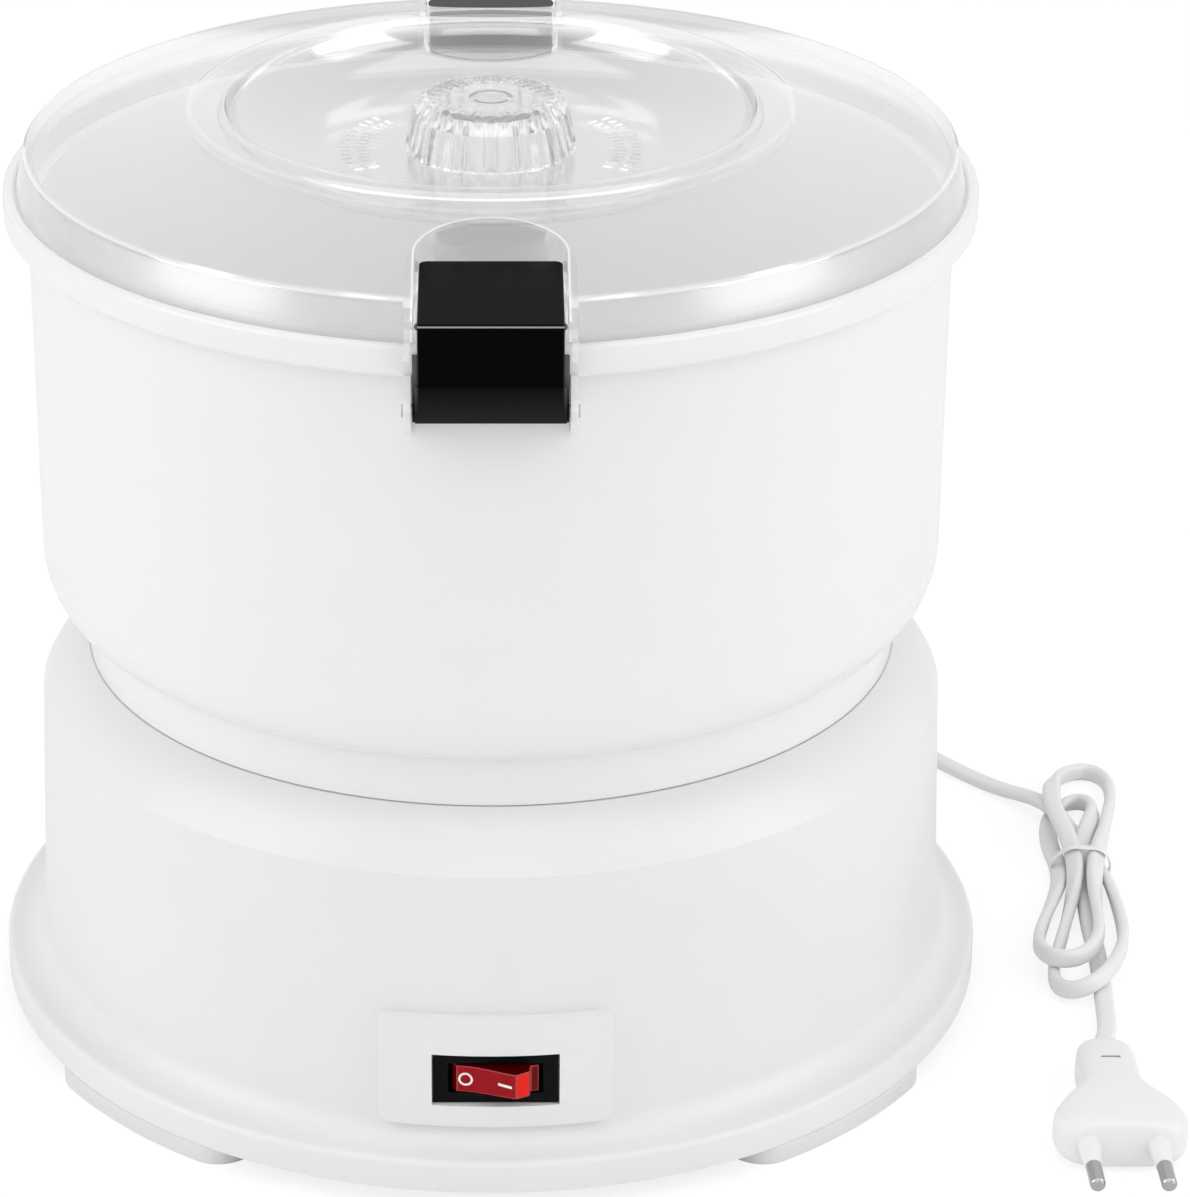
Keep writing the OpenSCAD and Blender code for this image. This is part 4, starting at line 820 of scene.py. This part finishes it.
# Two fans of plain raised ticks on the dish's floor, one on each side of the knob
tick_rows, tick_half, tick_pitch, tick_top_share = ((31.5, 34.5), (36.0, 38.6)), 0.3, 4.6, 0.82
tick_foot, tick_top = Vector((0, 0, 233.25)), Vector((0, 0, 233.6))
tick_points, tick_faces = [], []
for fan_turn in (5, 175):
    for step in range(-7, 8):
        for near, far in tick_rows:
            turn = math.radians(fan_turn + tick_pitch * step)
            outward = Vector((math.cos(turn), math.sin(turn), 0))
            across = Vector((-math.sin(turn), math.cos(turn), 0))
            foot = [outward * r + across * side * tick_half
                for r, side in ((near, -1), (far, -1), (far, 1), (near, 1))]
            centre = sum(foot, Vector()) / 4
            top = [centre + (p - centre) * tick_top_share for p in foot]
            points, faces = skin([[(p + tick_foot) * mm for p in foot],
                [(p + tick_top) * mm for p in top]])
            tick_faces += [tuple(i + len(tick_points) for i in face) for face in faces]
            tick_points += points
lid_ticks = add_piece("lid_ticks", tick_points, tick_faces, corner_styrene, 30)
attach(lid_ticks, "lid")

# ---- Clips -------------------------------------------------------------------------------
# Two gloss black nylon clips, each a bent plate with a thumb lip and side cheeks. They
# hinge on steel pins in the bowl's ears and snap down over the pockets in the lid.

clip_nylon = grained("clip_nylon", 0.16, 0.06, grain=0.002, depth=0.000006, ior=1.08)
off_middle = abs(part(clip_nylon, clip_nylon.at(), "X"))
out_from_axis = abs(part(clip_nylon, clip_nylon.at(), "Y"))
height = part(clip_nylon, clip_nylon.at(), "Z")

# Painted light: a pale painted highlight along the plate's bend, the cheeks painted lighter where
# they catch the light, and the rounded lower lip painted lighter towards the bottom as painted
# shading
bend_painted_highlight = height.rise(233.05 * mm, 233.2 * mm) * height.fall(233.45 * mm, 233.6 * mm) \
    * out_from_axis.rise(124.4 * mm, 125.1 * mm) * off_middle.fall(16.76 * mm, 16.9 * mm)
cheek_painted_light = off_middle.rise(16.6 * mm, 17.2 * mm) * height.rise(213.5 * mm, 221.5 * mm)
lip_painted_light = (50 * (height - 205 * mm)).ramp((0.20, 1), (0.67, 0.1), (0.69, 0))
painted_light_black = clip_nylon.mix(lip_painted_light, (0.0015, 0.0015, 0.0015), (0.022, 0.022, 0.022))
painted_light_black = clip_nylon.mix(cheek_painted_light, painted_light_black, (0.12, 0.12, 0.12))
clip_nylon.set(base_color=clip_nylon.mix(bend_painted_highlight, painted_light_black, (0.32, 0.32, 0.32)))
moulded("front_clip_plate", "front_latch", clip_nylon, "front_clip", 0.35,
    segments=3)
moulded("rear_clip_plate", "rear_latch", clip_nylon, "rear_clip", 0.35,
    segments=3)
pin_steel = metal("pin_steel", (0.45, 0.45, 0.46), 0.3, 0.1, (10, 1, 1), 0.003)
dress(pin_steel, "front_latch_pin", "rear_latch_pin")

# ---- Table and room ----------------------------------------------------------------------
# A white table that keeps a soft shadow, in a white room with a large lamp on each side,
# one overhead and a weak one in front.

table_top = Finish(bpy.data.materials.new("table_top"))
lit = table_top.node("ShaderNodeBsdfDiffuse", None, {"Color": (0.95, 0.95, 0.95)})
plain = table_top.node("ShaderNodeEmission", None, {"Color": (1, 1, 1), "Strength": 1.06})
straight = table_top.node("ShaderNodeLightPath", output="Is Camera Ray")
table_top.feed(table_top.tree.nodes["Material Output"].inputs["Surface"],
    table_top.node("ShaderNodeMixShader", None, {0: 0.76 * straight, 1: lit, 2: plain}))
far = 6
floor = add_piece("floor", [(-far, -far, 0), (far, -far, 0), (far, far, 0), (-far, far, 0)],
    [(0, 1, 2, 3)], table_top)

room = bpy.data.worlds.new("room")
scene.world = room
air = Finish(room)
seen = air.node("ShaderNodeLightPath", output="Is Camera Ray") \
    + air.node("ShaderNodeLightPath", output="Is Glossy Ray") \
    + air.node("ShaderNodeLightPath", output="Is Transmission Ray")
backdrop = air.tree.nodes["Background"]
air.feed(backdrop.inputs["Color"], (1, 1, 1))
air.feed(backdrop.inputs["Strength"], 0.62 + 0.38 * seen.rise(0, 1))


def lamp_panel(name, place, aim_height, size, power):
    """A flat lamp of size metres that is aimed at a height on the peeler's axis."""
    data = bpy.data.lights.new(name, "AREA")
    data.shape, data.energy = "RECTANGLE", power
    data.size, data.size_y = size
    new = bpy.data.objects.new(name, data)
    new.location = place
    toward = Vector((0, 0, aim_height)) - Vector(place)
    new.rotation_euler = toward.to_track_quat("-Z", "Y").to_euler()
    scene.collection.objects.link(new)


lamp_panel("lamp_left", (-1.3, -0.55, 0.8), 0.12, (1.0, 1.5), 8.6)
lamp_panel("lamp_right", (1.3, -0.55, 0.8), 0.12, (1.0, 1.5), 8.6)
lamp_panel("lamp_front", (0, -1.7, 1.0), 0.1, (1.4, 0.8), 1.8)
lamp_panel("lamp_top", (0, 0.1, 2.0), 0.1, (1.6, 1.6), 7)
